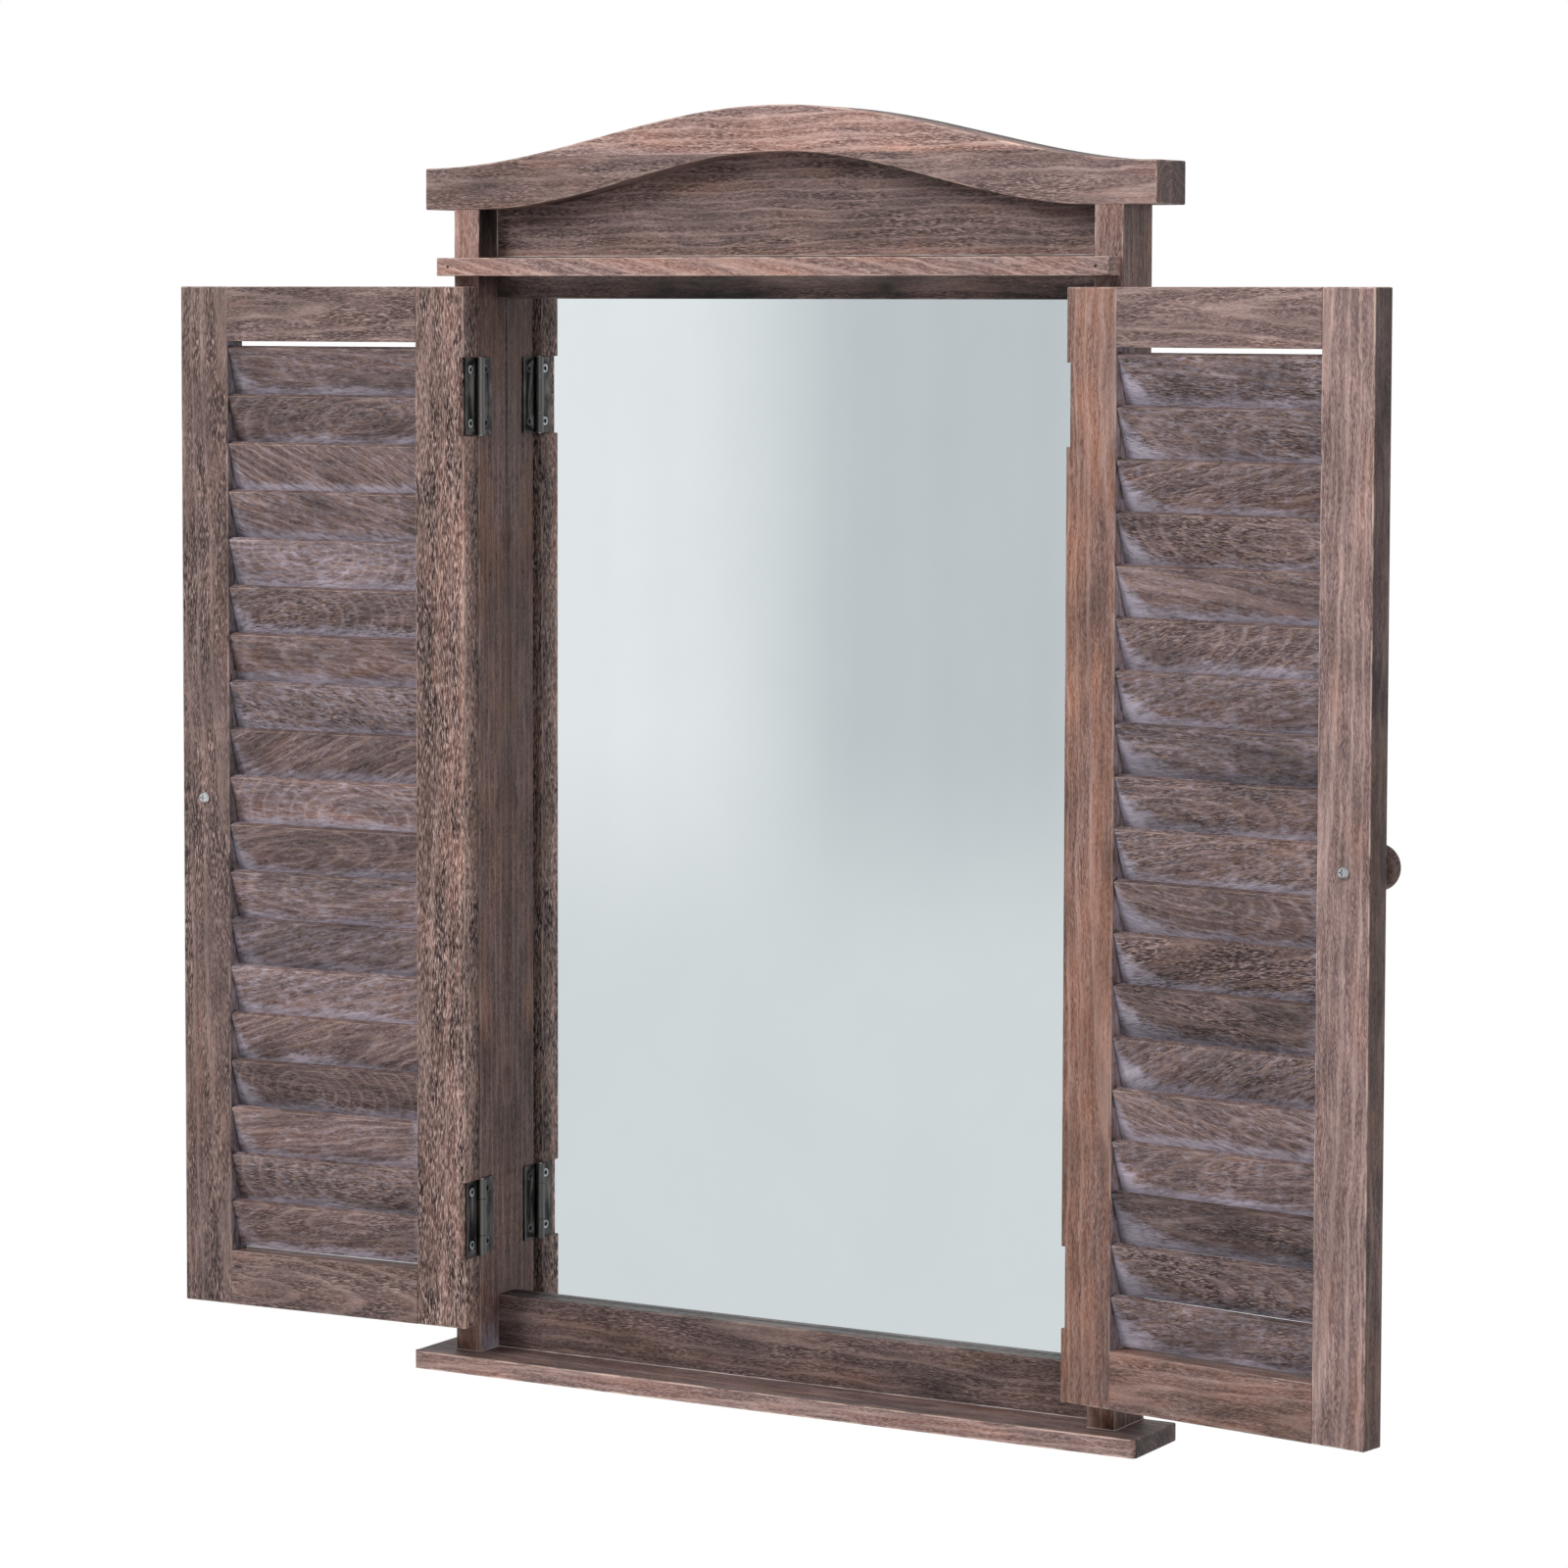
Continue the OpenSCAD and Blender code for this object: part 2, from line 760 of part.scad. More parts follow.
module free_stile(side) {
    color(WOOD_LIGHT) on_shutter(side) difference() {
        stile_block(shutter_w - stile_w, shutter_w);
        stile_cuts();
        bar_y([knob_x, pin_front - over, at(knob_height)], shutter_t + 2 * over,
            knob_screw_d + 2 * screw_gap);
    }
}

module shutter_rail(side, low_h) {
    color(WOOD) on_shutter(side) {
        block([stile_w, pin_front, at(low_h)],
            [shutter_w - stile_w, pin_front + shutter_t, at(low_h + shutter_rail_h)]);
        shutter_tenons(low_h, 0);
    }
}

module slats(side) {
    color(WOOD) on_shutter(side) slat_bars(slat_l, 0);
}

// Half of a knob's outline: a waisted neck, a rounded rim, and a dome that runs into the rim
module knob_outline() {
    rim_r = knob_d / 5;
    rim_x = knob_d / 2 - rim_r;
    dome_h = knob_h / 3;
    rim_z = knob_h - dome_h;
    waist_r = (rim_z - rim_r - knob_foot_t) / 2;
    rise = dome_h - rim_r;
    drop = (rim_x * rim_x - rise * rise) / (2 * rise);
    dome_r = dome_h + drop;
    difference() {
        square([knob_neck_d / 2 + knob_foot_rim, rim_z]);
        translate([knob_neck_d / 2 + waist_r, knob_foot_t + waist_r]) circle(r = waist_r);
    }
    translate([0, rim_z - rim_r]) square([rim_x, 2 * rim_r]);
    translate([rim_x, rim_z]) circle(r = rim_r);
    intersection() {
        translate([0, rim_z - drop]) circle(r = dome_r);
        translate([0, rim_z + rim_r * drop / (dome_r - rim_r)]) square([knob_d / 2, dome_r]);
    }
}

// A knob with its foot at the origin and its top along z, bored for its screw
module knob_shape() {
    bore_h = knob_screw_bite + hole_end;
    difference() {
        rotate_extrude() knob_outline();
        translate([0, 0, -over]) cylinder(h = bore_h + over, d = knob_screw_d + 2 * screw_gap);
    }
}

module knob(side) {
    color(WOOD_DARK) on_shutter(side) translate([knob_x, pin_front, at(knob_height)])
        rotate([90, 0, 0]) knob_shape();
}

module knob_screw(side) {
    inner_face = pin_front + shutter_t;
    r = knob_screw_head_d / 2;
    color(STEEL) on_shutter(side) translate([knob_x, inner_face, at(knob_height)]) rotate([-90, 0, 0])
        difference() {
            union() {
                translate([0, 0, -knob_screw_l]) cylinder(h = knob_screw_l, d = knob_screw_d);
                cylinder(h = knob_screw_head_h / 2, r = r);
                translate([0, 0, knob_screw_head_h / 2])
                    cylinder(h = knob_screw_head_h / 2, r1 = r, r2 = r * 0.72);
            }
            translate([0, 0, knob_screw_head_h]) cross_recess(r * 1.15, r * 0.25, knob_screw_head_h * 0.6);
        }
}

post("left");  // left_post
post("right");  // right_post
sill();
bottom_rail();
header_rail();
pediment_panel();
crown_front_board();
crown_back_board();
front_strip();
mirror_glass();
backing_board();
glazing_pins();
strip_brads();
crown_nails();
sill_screws();
hanger("left");  // left_hanger
hanger("right");  // right_hanger
hanger_screws();
hinge_stile("left");  // left_hinge_stile
free_stile("left");  // left_free_stile
shutter_rail("left", shutter_top_h - shutter_rail_h);  // left_top_rail
shutter_rail("left", shutter_bottom_h);  // left_bottom_rail
slats("left");  // left_slats
knob("left");  // left_knob
knob_screw("left");  // left_knob_screw
hinge_stile("right");  // right_hinge_stile
free_stile("right");  // right_free_stile
shutter_rail("right", shutter_top_h - shutter_rail_h);  // right_top_rail
shutter_rail("right", shutter_bottom_h);  // right_bottom_rail
slats("right");  // right_slats
knob("right");  // right_knob
knob_screw("right");  // right_knob_screw
placed_post_leaf("left", upper_hinge_h);  // left_upper_post_leaf
placed_shutter_leaf("left", upper_hinge_h);  // left_upper_shutter_leaf
placed_pin("left", upper_hinge_h);  // left_upper_pin
placed_post_leaf("left", lower_hinge_h);  // left_lower_post_leaf
placed_shutter_leaf("left", lower_hinge_h);  // left_lower_shutter_leaf
placed_pin("left", lower_hinge_h);  // left_lower_pin
placed_post_leaf("right", upper_hinge_h);  // right_upper_post_leaf
placed_shutter_leaf("right", upper_hinge_h);  // right_upper_shutter_leaf
placed_pin("right", upper_hinge_h);  // right_upper_pin
placed_post_leaf("right", lower_hinge_h);  // right_lower_post_leaf
placed_shutter_leaf("right", lower_hinge_h);  // right_lower_shutter_leaf
placed_pin("right", lower_hinge_h);  // right_lower_pin
post_leaf_screws("left");  // left_post_leaf_screws
shutter_leaf_screws("left");  // left_shutter_leaf_screws
post_leaf_screws("right");  // right_post_leaf_screws
shutter_leaf_screws("right");  // right_shutter_leaf_screws
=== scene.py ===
"""Dresses a shuttered wall mirror: worn, brushed wood, silvered glass and small dark hinges."""
import json
import math

import bmesh
import bpy
from mathutils import Matrix, Vector, noise


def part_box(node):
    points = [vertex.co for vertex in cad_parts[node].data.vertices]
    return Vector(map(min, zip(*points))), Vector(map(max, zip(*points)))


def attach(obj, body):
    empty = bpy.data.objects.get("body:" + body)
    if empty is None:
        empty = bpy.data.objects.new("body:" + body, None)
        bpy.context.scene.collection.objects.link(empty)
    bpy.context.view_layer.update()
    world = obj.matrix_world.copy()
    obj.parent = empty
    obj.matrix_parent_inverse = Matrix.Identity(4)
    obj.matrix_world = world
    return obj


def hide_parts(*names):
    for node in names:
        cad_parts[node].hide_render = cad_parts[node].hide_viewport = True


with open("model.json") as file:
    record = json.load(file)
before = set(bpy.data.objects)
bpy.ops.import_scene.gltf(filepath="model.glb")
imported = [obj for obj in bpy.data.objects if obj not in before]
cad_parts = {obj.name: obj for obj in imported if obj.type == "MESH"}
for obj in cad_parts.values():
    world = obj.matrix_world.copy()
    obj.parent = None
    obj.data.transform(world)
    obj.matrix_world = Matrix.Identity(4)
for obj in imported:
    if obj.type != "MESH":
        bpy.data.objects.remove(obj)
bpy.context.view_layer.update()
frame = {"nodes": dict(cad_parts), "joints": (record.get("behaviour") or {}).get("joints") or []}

bl_info = {
    "name": "Shutter Mirror",
    "version": (1, 0, 0),
    "blender": (4, 5, 0),
    "location": "View3D > Sidebar > Shutter Mirror",
    "description": "Builds the visible boards, slats, glass and metal of a shuttered wall mirror",
    "category": "Object",
}

MM = 0.001
NODES = frame["nodes"]
JOINTS = {joint["name"]: joint for joint in frame["joints"]}
SIDES = ("left", "right")

X_AXIS = Vector((1, 0, 0))
Y_AXIS = Vector((0, 1, 0))
Z_AXIS = Vector((0, 0, 1))
FRONT = Vector((0, -1, 0))

WELD = 2e-6  # corners closer than this, in metres, are one corner
IN_PLANE = 2e-5  # a face closer than this to a board's outer plane lies in it
FAR = 1e9  # farther than anything on the mirror
ALIGNED = 0.98  # a direction lies along an axis when it has more than this of it
TURNED = 0.9  # a face takes the tone of a side when it looks that way by more than this
OUTLINE = 0.05  # a face is on a board's outline when it looks outwards by less than this
FLAT = math.radians(0.5)  # faces that meet at less than this are made one
CREASE = math.radians(40)  # edges that turn by more than this are shaded as edges
ARRIS = math.radians(50)  # edges that turn by more than this are eased
SLICE = 12 * MM  # distance between the cuts across a board, which carry its slow changes
SLAT_CUTS = 40  # parts that a slat is made of along its length
SHORTEST_ARRIS = 2 * MM  # shorter edges than this stay as they are
UPPER_PLANK = 26 * MM  # from the top of the crown down to the seam between its planks
POST_PAINTED_LIGHT = (-420 * MM, -200 * MM)  # heights between which a post gets lighter upwards: painted light from above
STILE_PAINTED_LIGHT = (-600 * MM, -50 * MM)  # heights between which a stile gets lighter upwards: painted light from above
RAIL_FADE = (-618 * MM, -600 * MM)  # heights between which the bottom rail gets lighter
GLUE_BEAD = 0.65 * MM  # how far a bead of glue stands out
GLUE_STEP = 4 * MM  # distance between the cuts along a bead of glue
GLUE_SINK = 0.2 * MM  # how far a bead of glue reaches into the faces behind it
GLUE_RISE = 26 * MM  # how far a bead of glue runs up the ends of the panel
BARREL = 2.5 * MM  # radius about the pin within which a hinge leaf is its knuckle
RUBBED_AND_HIGHLIGHT = (0.17, 0.158, 0.15)  # metal rubbed bright on a hinge's knuckle, which also serves as a painted highlight
# near-black dirt and painted shade in the recess of a screw head
DIRT_AND_SHADE = (0.02, 0.018, 0.017)
HORIZON = (0.76, 0.79, 0.81)  # what the mirror sees where the floor ends
SENSOR = 36.0  # width of the camera's sensor in millimetres


# Settings

def srgb_to_linear(value):
    if value <= 0.04045:
        return value / 12.92
    return ((value + 0.055) / 1.055) ** 2.4


def colour(name, description, default):
    """A colour setting, given as it looks on screen."""
    linear = tuple(srgb_to_linear(channel / 255) for channel in default)
    return bpy.props.FloatVectorProperty(
        name=name, description=description, subtype="COLOR", size=3, min=0.0, max=1.0, default=linear)


def length(name, description, default_mm, **limits):
    """A length setting in metres, given in millimetres."""
    return bpy.props.FloatProperty(
        name=name, description=description, default=default_mm * MM, unit="LENGTH", precision=5, **limits)


def angle(name, description, degrees, **limits):
    """An angle setting, given in degrees."""
    return bpy.props.FloatProperty(
        name=name, description=description, default=math.radians(degrees), subtype="ANGLE", **limits)


class MirrorWoodSettings(bpy.types.PropertyGroup):
    """Colours and grain of the brushed, stained wood."""

    brown: colour("Brown", "Stained wood between the pores", (112, 89, 88))
    light: colour("Light", "Ridges that the brush left pale", (198, 169, 160))
    dark: colour("Dark", "Open pores that hold the stain", (54, 34, 35))
    red: colour("Red", "Warm boards that took less stain", (160, 104, 77))
    wash: colour("Wash", "Pale grey wash left where the brush could not reach", (220, 212, 230))
    bare: colour("Bare", "Bare wood on worn arrises", (200, 172, 158))
    ease: length("Eased arris", "Rounding of the boards' outer edges", 0.8, min=0.0002, max=0.002)
    ring: length("Ring width", "Width of one growth ring", 5.2, min=0.001, max=0.02)
    pore_length: length("Pore length", "Length of an open pore along the grain", 4.2, min=0.001, max=0.02)
    pore_width: length("Pore width", "Width of an open pore", 0.52, min=0.0002, max=0.003)


class MirrorShutterSettings(bpy.types.PropertyGroup):
    """Sizes of the louvres."""

    slat_width: length("Slat width", "Width of a slat across its grain", 29.0, min=0.02, max=0.03)
    slat_thickness: length("Slat thickness", "Thickness of a slat", 4.5, min=0.003, max=0.006)
    slat_tilt: angle("Slat tilt", "Tilt of the slats from upright", 20, min=0.0, max=math.radians(30))


class MirrorStageSettings(bpy.types.PropertyGroup):
    """Camera, floor and light."""

    camera: bpy.props.FloatVectorProperty(
        name="Camera", description="Place of the camera", subtype="TRANSLATION", size=3,
        default=(1.37363, -2.42059, -0.0269))
    yaw: angle("Yaw", "Turn of the camera to the left of straight ahead", 29.833)
    pitch: angle("Pitch", "Tilt of the camera above level", -3.993)
    roll: angle("Roll", "Roll of the camera", 0.135)
    lens: bpy.props.FloatProperty(
        name="Lens", description="Focal length in millimetres on a 36 mm sensor", default=116.78, min=10.0,
        unit="CAMERA")
    shift: bpy.props.FloatProperty(
        name="Shift", description="Downward shift of the lens, in widths of the picture", default=0.08)
    floor_drop: length("Floor", "Distance from the hanging line down to the floor", 1400.0, min=0.7)


def wood():
    return bpy.context.scene.mirror_wood


def louvres():
    return bpy.context.scene.mirror_shutters


def staging():
    return bpy.context.scene.mirror_stage


# Node trees

class Wiring:
    """Adds nodes to a node tree and links them."""

    def __init__(self, tree):
        self.tree = tree

    def node(self, kind, inputs=None, **settings):
        made = self.tree.nodes.new(kind)
        for name, value in settings.items():
            setattr(made, name, value)
        for key, value in (inputs or {}).items():
            self.feed(made.inputs[key], value)
        return made

    def feed(self, socket, value):
        """Links an input to an output, or sets it to a value."""
        if isinstance(value, bpy.types.NodeSocket):
            self.tree.links.new(value, socket)
            return
        if socket.type == "RGBA" and len(value) == 3:
            value = (*value, 1.0)
        socket.default_value = value

    def math(self, operation, first, second=0.0, third=0.0, clamp=False):
        made = self.node("ShaderNodeMath", {0: first, 1: second, 2: third}, operation=operation,
                         use_clamp=clamp)
        return made.outputs[0]

    def add(self, first, *others):
        """The sum of any number of values."""
        for other in others:
            first = self.math("ADD", first, other)
        return first

    def less(self, first, second):
        return self.math("SUBTRACT", first, second)

    def times(self, first, second):
        return self.math("MULTIPLY", first, second)

    def swing(self, value, reach):
        """How far a value from 0 to 1 is from its middle, times a reach."""
        return self.times(self.less(value, 0.5), reach)

    def vector(self, operation, first, second):
        made = self.node("ShaderNodeVectorMath", {0: first, 1: second}, operation=operation)
        return made.outputs["Vector"]

    def stretch(self, vector, amounts):
        """A vector with each of its parts multiplied by an amount of its own."""
        return self.vector("MULTIPLY", vector, amounts)

    def scale(self, vector, amount):
        made = self.node("ShaderNodeVectorMath", {0: vector, "Scale": amount}, operation="SCALE")
        return made.outputs["Vector"]

    def split(self, vector):
        made = self.node("ShaderNodeSeparateXYZ", {0: vector})
        return made.outputs[0], made.outputs[1], made.outputs[2]

    def join(self, x, y, z):
        return self.node("ShaderNodeCombineXYZ", {0: x, 1: y, 2: z}).outputs[0]

    def noise(self, vector, detail=2.0, roughness=0.5, scale=1.0):
        made = self.node("ShaderNodeTexNoise", {
            "Vector": vector, "Scale": scale, "Detail": detail, "Roughness": roughness})
        return made.outputs["Fac"]

    def wave(self, vector, amounts, reach):
        """A smooth sideways wave about as wide as reach, from noise stretched along a board."""
        return self.swing(self.noise(self.stretch(vector, amounts), 1.0), reach)

    def step(self, value, low, high, to_low=0.0, to_high=1.0):
        """A smooth step from to_low to to_high while the value goes from low to high."""
        made = self.node("ShaderNodeMapRange", {
            "Value": value, "From Min": low, "From Max": high, "To Min": to_low, "To Max": to_high},
            interpolation_type="SMOOTHSTEP")
        return made.outputs["Result"]

    def mix(self, amount, first, second):
        return self.node("ShaderNodeMix", {0: amount, 6: first, 7: second}, data_type="RGBA").outputs[2]

    def attribute(self, name):
        return self.node("ShaderNodeAttribute", attribute_name=name).outputs

    def place(self):
        """Where a point is on its piece, in metres."""
        return self.node("ShaderNodeTexCoord").outputs["Object"]

    def group(self, tree, **inputs):
        made = self.node("ShaderNodeGroup", node_tree=tree)
        for name, value in inputs.items():
            self.feed(made.inputs[name.replace("_", " ").capitalize()], value)
        return made.outputs


FLOAT = "NodeSocketFloat"
VECTOR = "NodeSocketVector"
COLOUR = "NodeSocketColor"
WHITE = (1.0, 1.0, 1.0, 1.0)
GRAIN_MASKS = ("Line", "Pores", "Ridges", "Fine", "Streaks", "Patches", "Clouds", "Figure")
STAINS = ("Brown", "Light", "Dark", "Red", "Grey", "Bare")
SEED_SHIFT = (171.3, 83.7, 45.1)  # millimetres between the patterns of one seed and the next


def new_group(name, inputs, outputs):
    """A shader node group with named sockets, its wiring, its inputs by name and its output node."""
    tree = bpy.data.node_groups.new(name, "ShaderNodeTree")
    for title, (kind, default) in inputs.items():
        socket = tree.interface.new_socket(name=title, in_out="INPUT", socket_type=kind)
        if default is not None:
            socket.default_value = default
    for title, kind in outputs.items():
        tree.interface.new_socket(name=title, in_out="OUTPUT", socket_type=kind)
    wiring = Wiring(tree)
    start = wiring.node("NodeGroupInput")
    end = wiring.node("NodeGroupOutput")
    return tree, wiring, start.outputs, end


def ring_masks(w, given, sway):
    """How late in its year the wood at a place grew, and whether a ring's line crosses it."""
    along, across, depth = w.split(given["Place"])
    heart_across, heart_depth, slope = w.split(given["Rings"])
    ring_y = w.less(w.add(across, sway), heart_across)
    ring_z = w.less(w.less(depth, heart_depth), w.times(slope, along))
    radius = w.math("SQRT", w.add(w.times(ring_y, ring_y), w.times(ring_z, ring_z)))
    turn = w.math("FRACT", w.math("DIVIDE", radius, given["Ring width"]))
    late = w.times(w.step(turn, 0.2, 0.85), w.step(turn, 0.9, 1.0, 1.0, 0.0))
    line = w.times(w.step(turn, 0.62, 0.84), w.step(turn, 0.86, 1.0, 1.0, 0.0))
    return late, line


def figure_mask(w, given, place, late):
    """Where the pores gather: in long bands, less in late wood, and more on a coarse board."""
    gather = w.noise(w.stretch(place, (0.022, 0.08, 0.08)), 2.0, 0.55)
    figure = w.add(w.times(gather, 4.2), w.times(late, -0.5), -1.35)
    figure = w.math("MAXIMUM", figure, w.times(given["Coarse"], 0.24), clamp=True)
    return w.times(figure, given["Coarse"])


def grain_group():
    """Growth rings, open pores and brushed ridges of a board, from a place in millimetres along,
    across and into it. Rings holds how far the heart of the tree lies across and behind the face,
    and how fast it comes forward along the board."""
    tree, w, given, end = new_group("Brushed Grain", {
        "Place": (VECTOR, None), "Rings": (VECTOR, None), "Seed": (FLOAT, 0.0), "Coarse": (FLOAT, 1.0),
        "Ring width": (FLOAT, 4.6), "Pore length": (FLOAT, 6.0), "Pore width": (FLOAT, 0.6),
    }, dict.fromkeys((*GRAIN_MASKS, "Relief"), FLOAT))
    shift = w.join(*(w.times(given["Seed"], distance) for distance in SEED_SHIFT))
    place = w.vector("ADD", given["Place"], shift)
    sway = w.add(w.wave(place, (0.012, 0.03, 0.03), 7.0), w.wave(place, (0.04, 0.05, 0.05), 3.4),
                 w.wave(place, (0.12, 0.15, 0.15), 1.2))
    late, line = ring_masks(w, given, sway)
    figure = figure_mask(w, given, place, late)

    waved = w.vector("ADD", place, w.join(0.0, sway, w.times(sway, 0.6)))
    x, y, z = w.split(waved)
    fibre_place = w.join(w.math("DIVIDE", x, given["Pore length"]),
                         w.math("DIVIDE", y, given["Pore width"]), w.math("DIVIDE", z, given["Pore width"]))
    fibres = w.noise(fibre_place, 1.0)
    pores = w.times(w.step(fibres, 0.53, 0.65), figure)
    ridges = w.times(w.step(fibres, 0.46, 0.35), figure)
    contrast = w.math("MULTIPLY_ADD", given["Coarse"], 0.4, 0.6)
    fine = w.less(w.noise(w.stretch(fibre_place, (1.6, 2.3, 2.3)), 1.0), 0.5)
    fine = w.math("MULTIPLY_ADD", fine, contrast, 0.5)
    streaks = w.noise(w.stretch(waved, (0.025, 0.5, 0.5)), 4.0, 0.7)
    patches = w.noise(w.stretch(place, (0.013, 0.07, 0.07)))
    clouds = w.noise(w.stretch(place, (0.021, 0.06, 0.06)), 3.0, 0.55)
    raised = w.add(w.times(streaks, 0.5), w.times(line, 0.25), w.times(ridges, 0.4), w.times(fine, 0.3))
    relief = w.less(raised, w.times(pores, 0.7))
    made = (line, pores, ridges, fine, streaks, patches, clouds, figure, relief)
    for name, value in zip((*GRAIN_MASKS, "Relief"), made):
        w.feed(end.inputs[name], value)
    return tree


def stain_group():
    """The colour and roughness of stained wood, from its grain and from masks of warmth, shade,
    wash and wear."""
    masks = (*GRAIN_MASKS, "Warmth", "Shade", "Wash", "Wear")
    tree, w, given, end = new_group(
        "Rubbed Stain", {**dict.fromkeys(masks, (FLOAT, 0.0)), **dict.fromkeys(STAINS, (COLOUR, WHITE))},
        {"Colour": COLOUR, "Roughness": FLOAT})
    warm = w.math("ADD", given["Warmth"], w.swing(given["Patches"], 2.1), clamp=True)
    ground = w.mix(warm, given["Brown"], given["Red"])
    layers = (
        (w.step(given["Streaks"], 0.48, 0.68, 0.0, 0.52), "Light"),
        (w.step(given["Streaks"], 0.5, 0.32, 0.0, 0.62), "Dark"),
        (w.times(given["Figure"], 0.5), "Dark"),
        (w.step(given["Fine"], 0.45, 0.68, 0.0, 0.52), "Light"),
        (w.step(given["Fine"], 0.5, 0.3, 0.0, 0.6), "Dark"),
        (w.times(given["Line"], 0.3), "Light"),
        (w.times(given["Ridges"], 0.95), "Light"),
        (w.times(given["Pores"], 0.7), "Dark"),
    )
    for amount, stain in layers:
        ground = w.mix(amount, ground, given[stain])
    cover = w.less(1.0, w.times(given["Pores"], 0.5))
    ground = w.mix(w.math("MULTIPLY", given["Wash"], cover, clamp=True), ground, given["Grey"])
    ground = w.mix(given["Wear"], ground, given["Bare"])
    brightness = w.less(w.less(0.885, given["Shade"]), w.swing(given["Clouds"], 1.25))
    w.feed(end.inputs["Colour"], w.scale(ground, brightness))
    rough = w.add(0.56, w.times(given["Pores"], 0.22))
    w.feed(end.inputs["Roughness"], w.less(rough, w.times(given["Wear"], 0.12)))
    return tree


def metal_group():
    """Tarnish, rubbed spots that also serve as a painted highlight, dirt with painted shade in screw
    recesses, and fine scratches on small metal, from a place in millimetres.
    """
    tree, w, given, end = new_group("Handled Metal", {
        "Place": (VECTOR, None), "Clean": (COLOUR, WHITE), "Tarnish": (COLOUR, WHITE),
        "Amount": (FLOAT, 0.5), "Roughness": (FLOAT, 0.3), "Grime": (FLOAT, 0.0),
        "Polish": (FLOAT, 0.0),
    }, {"Colour": COLOUR, "Roughness": FLOAT, "Relief": FLOAT})
    cloud = w.noise(w.stretch(given["Place"], (0.2, 0.2, 0.07)), 3.0, 0.6)
    specks = w.noise(given["Place"], scale=3.0)
    scratches = w.noise(w.stretch(given["Place"], (3.0, 3.0, 0.35)))
    tarnish = w.add(w.step(cloud, 0.3, 0.7), given["Amount"])
    tarnish = w.math("SUBTRACT", tarnish, 0.5, clamp=True)
    metal = w.mix(tarnish, given["Clean"], given["Tarnish"])
    # knuckles rubbed bright, which also stands in as a painted highlight
    metal = w.mix(given["Polish"], metal, RUBBED_AND_HIGHLIGHT)
    # dirt and painted shade darken the recess of a screw head
    w.feed(end.inputs["Colour"], w.mix(w.step(given["Grime"], 0.1, 0.9), metal, DIRT_AND_SHADE))
    rough = w.math("ADD", w.swing(scratches, 0.25), given["Roughness"], clamp=True)
    w.feed(end.inputs["Roughness"], rough)
    w.feed(end.inputs["Relief"], w.add(scratches, w.times(specks, 0.4)))
    return tree


GROUPS = {"grain": grain_group, "stain": stain_group, "metal": metal_group}


def group(name):
    """A shared node group, made when it is first asked for."""
    key = f"shutter_mirror_{name}"
    found = bpy.data.node_groups.get(key)
    if found:
        return found
    made = GROUPS[name]()
    made.name = key
    return made


# Materials

def new_material(name):
    """A material, its wiring and its Principled BSDF."""
    material = bpy.data.materials.new(name)
    material.use_nodes = True
    return material, Wiring(material.node_tree), material.node_tree.nodes["Principled BSDF"]


def feed_shader(w, shader, tone, roughness, height=None, depth=0.0):
    """Feeds the shader its colour and roughness, and a normal bumped by a height."""
    w.feed(shader.inputs["Base Color"], tone)
    w.feed(shader.inputs["Roughness"], roughness)
    if height is not None:
        bump = w.node("ShaderNodeBump", {"Height": height, "Strength": 1.0, "Distance": depth})
        w.feed(shader.inputs["Normal"], bump.outputs["Normal"])


def brushed_wood():
    """Brushed and stained wood. Each board carries its own place, rings, seed, tone and wash."""
    key = "Wood boards"
    found = bpy.data.materials.get(key)
    if found:
        return found
    material, w, shader = new_material(key)
    paint = wood()
    seed, warmth, shade = w.split(w.attribute("board")["Vector"])
    place = w.scale(w.attribute("grain")["Vector"], 1 / MM)
    grain = w.group(group("grain"), place=place, rings=w.attribute("rings")["Vector"], seed=seed,
                    coarse=w.attribute("coarse")["Fac"], ring_width=paint.ring / MM,
                    pore_length=paint.pore_length / MM, pore_width=paint.pore_width / MM)
    rub = w.noise(w.stretch(place, (0.05, 0.3, 0.3)), 3.0, 0.6)
    worn = w.times(w.attribute("edge")["Fac"], w.step(rub, 0.4, 0.62, 0.0, 0.8))
    cloud = w.noise(w.stretch(place, (0.12, 0.4, 0.4)), 4.0, 0.7)
    washed = w.add(w.attribute("wash")["Fac"], w.swing(cloud, 1.3))
    finish = w.group(
        group("stain"), **{name: grain[name] for name in GRAIN_MASKS}, warmth=warmth, shade=shade,
        wash=w.step(washed, 0.25, 0.95, 0.0, 0.88), wear=worn, brown=paint.brown[:], light=paint.light[:],
        dark=paint.dark[:], red=paint.red[:], grey=paint.wash[:], bare=paint.bare[:])
    feed_shader(w, shader, finish["Colour"], finish["Roughness"], grain["Relief"], 0.35 * MM)
    shader.inputs["Specular IOR Level"].default_value = 0.35
    return material


def handled_metal(name, clean, tarnish, amount, roughness, depth):
    """Bare or plated metal with tarnish and fine scratches."""
    key = f"Metal {name}"
    found = bpy.data.materials.get(key)
    if found:
        return found
    material, w, shader = new_material(key)
    finish = w.group(group("metal"), place=w.scale(w.place(), 1 / MM), clean=clean, tarnish=tarnish,
                     amount=amount, roughness=roughness, grime=w.attribute("grime")["Fac"],
                     polish=w.attribute("polish")["Fac"])
    feed_shader(w, shader, finish["Colour"], finish["Roughness"], finish["Relief"], depth)
    shader.inputs["Metallic"].default_value = 1.0
    return material


def dark_metal():
    return handled_metal("dark hinge", (0.15, 0.135, 0.125), (0.045, 0.042, 0.042), 0.6, 0.34, 0.01 * MM)


def dull_steel():
    return handled_metal("dull steel", (0.3, 0.29, 0.28), (0.07, 0.066, 0.066), 0.7, 0.35, 0.012 * MM)


def zinc():
    return handled_metal("zinc", (0.78, 0.78, 0.78), (0.4, 0.4, 0.4), 0.4, 0.28, 0.01 * MM)


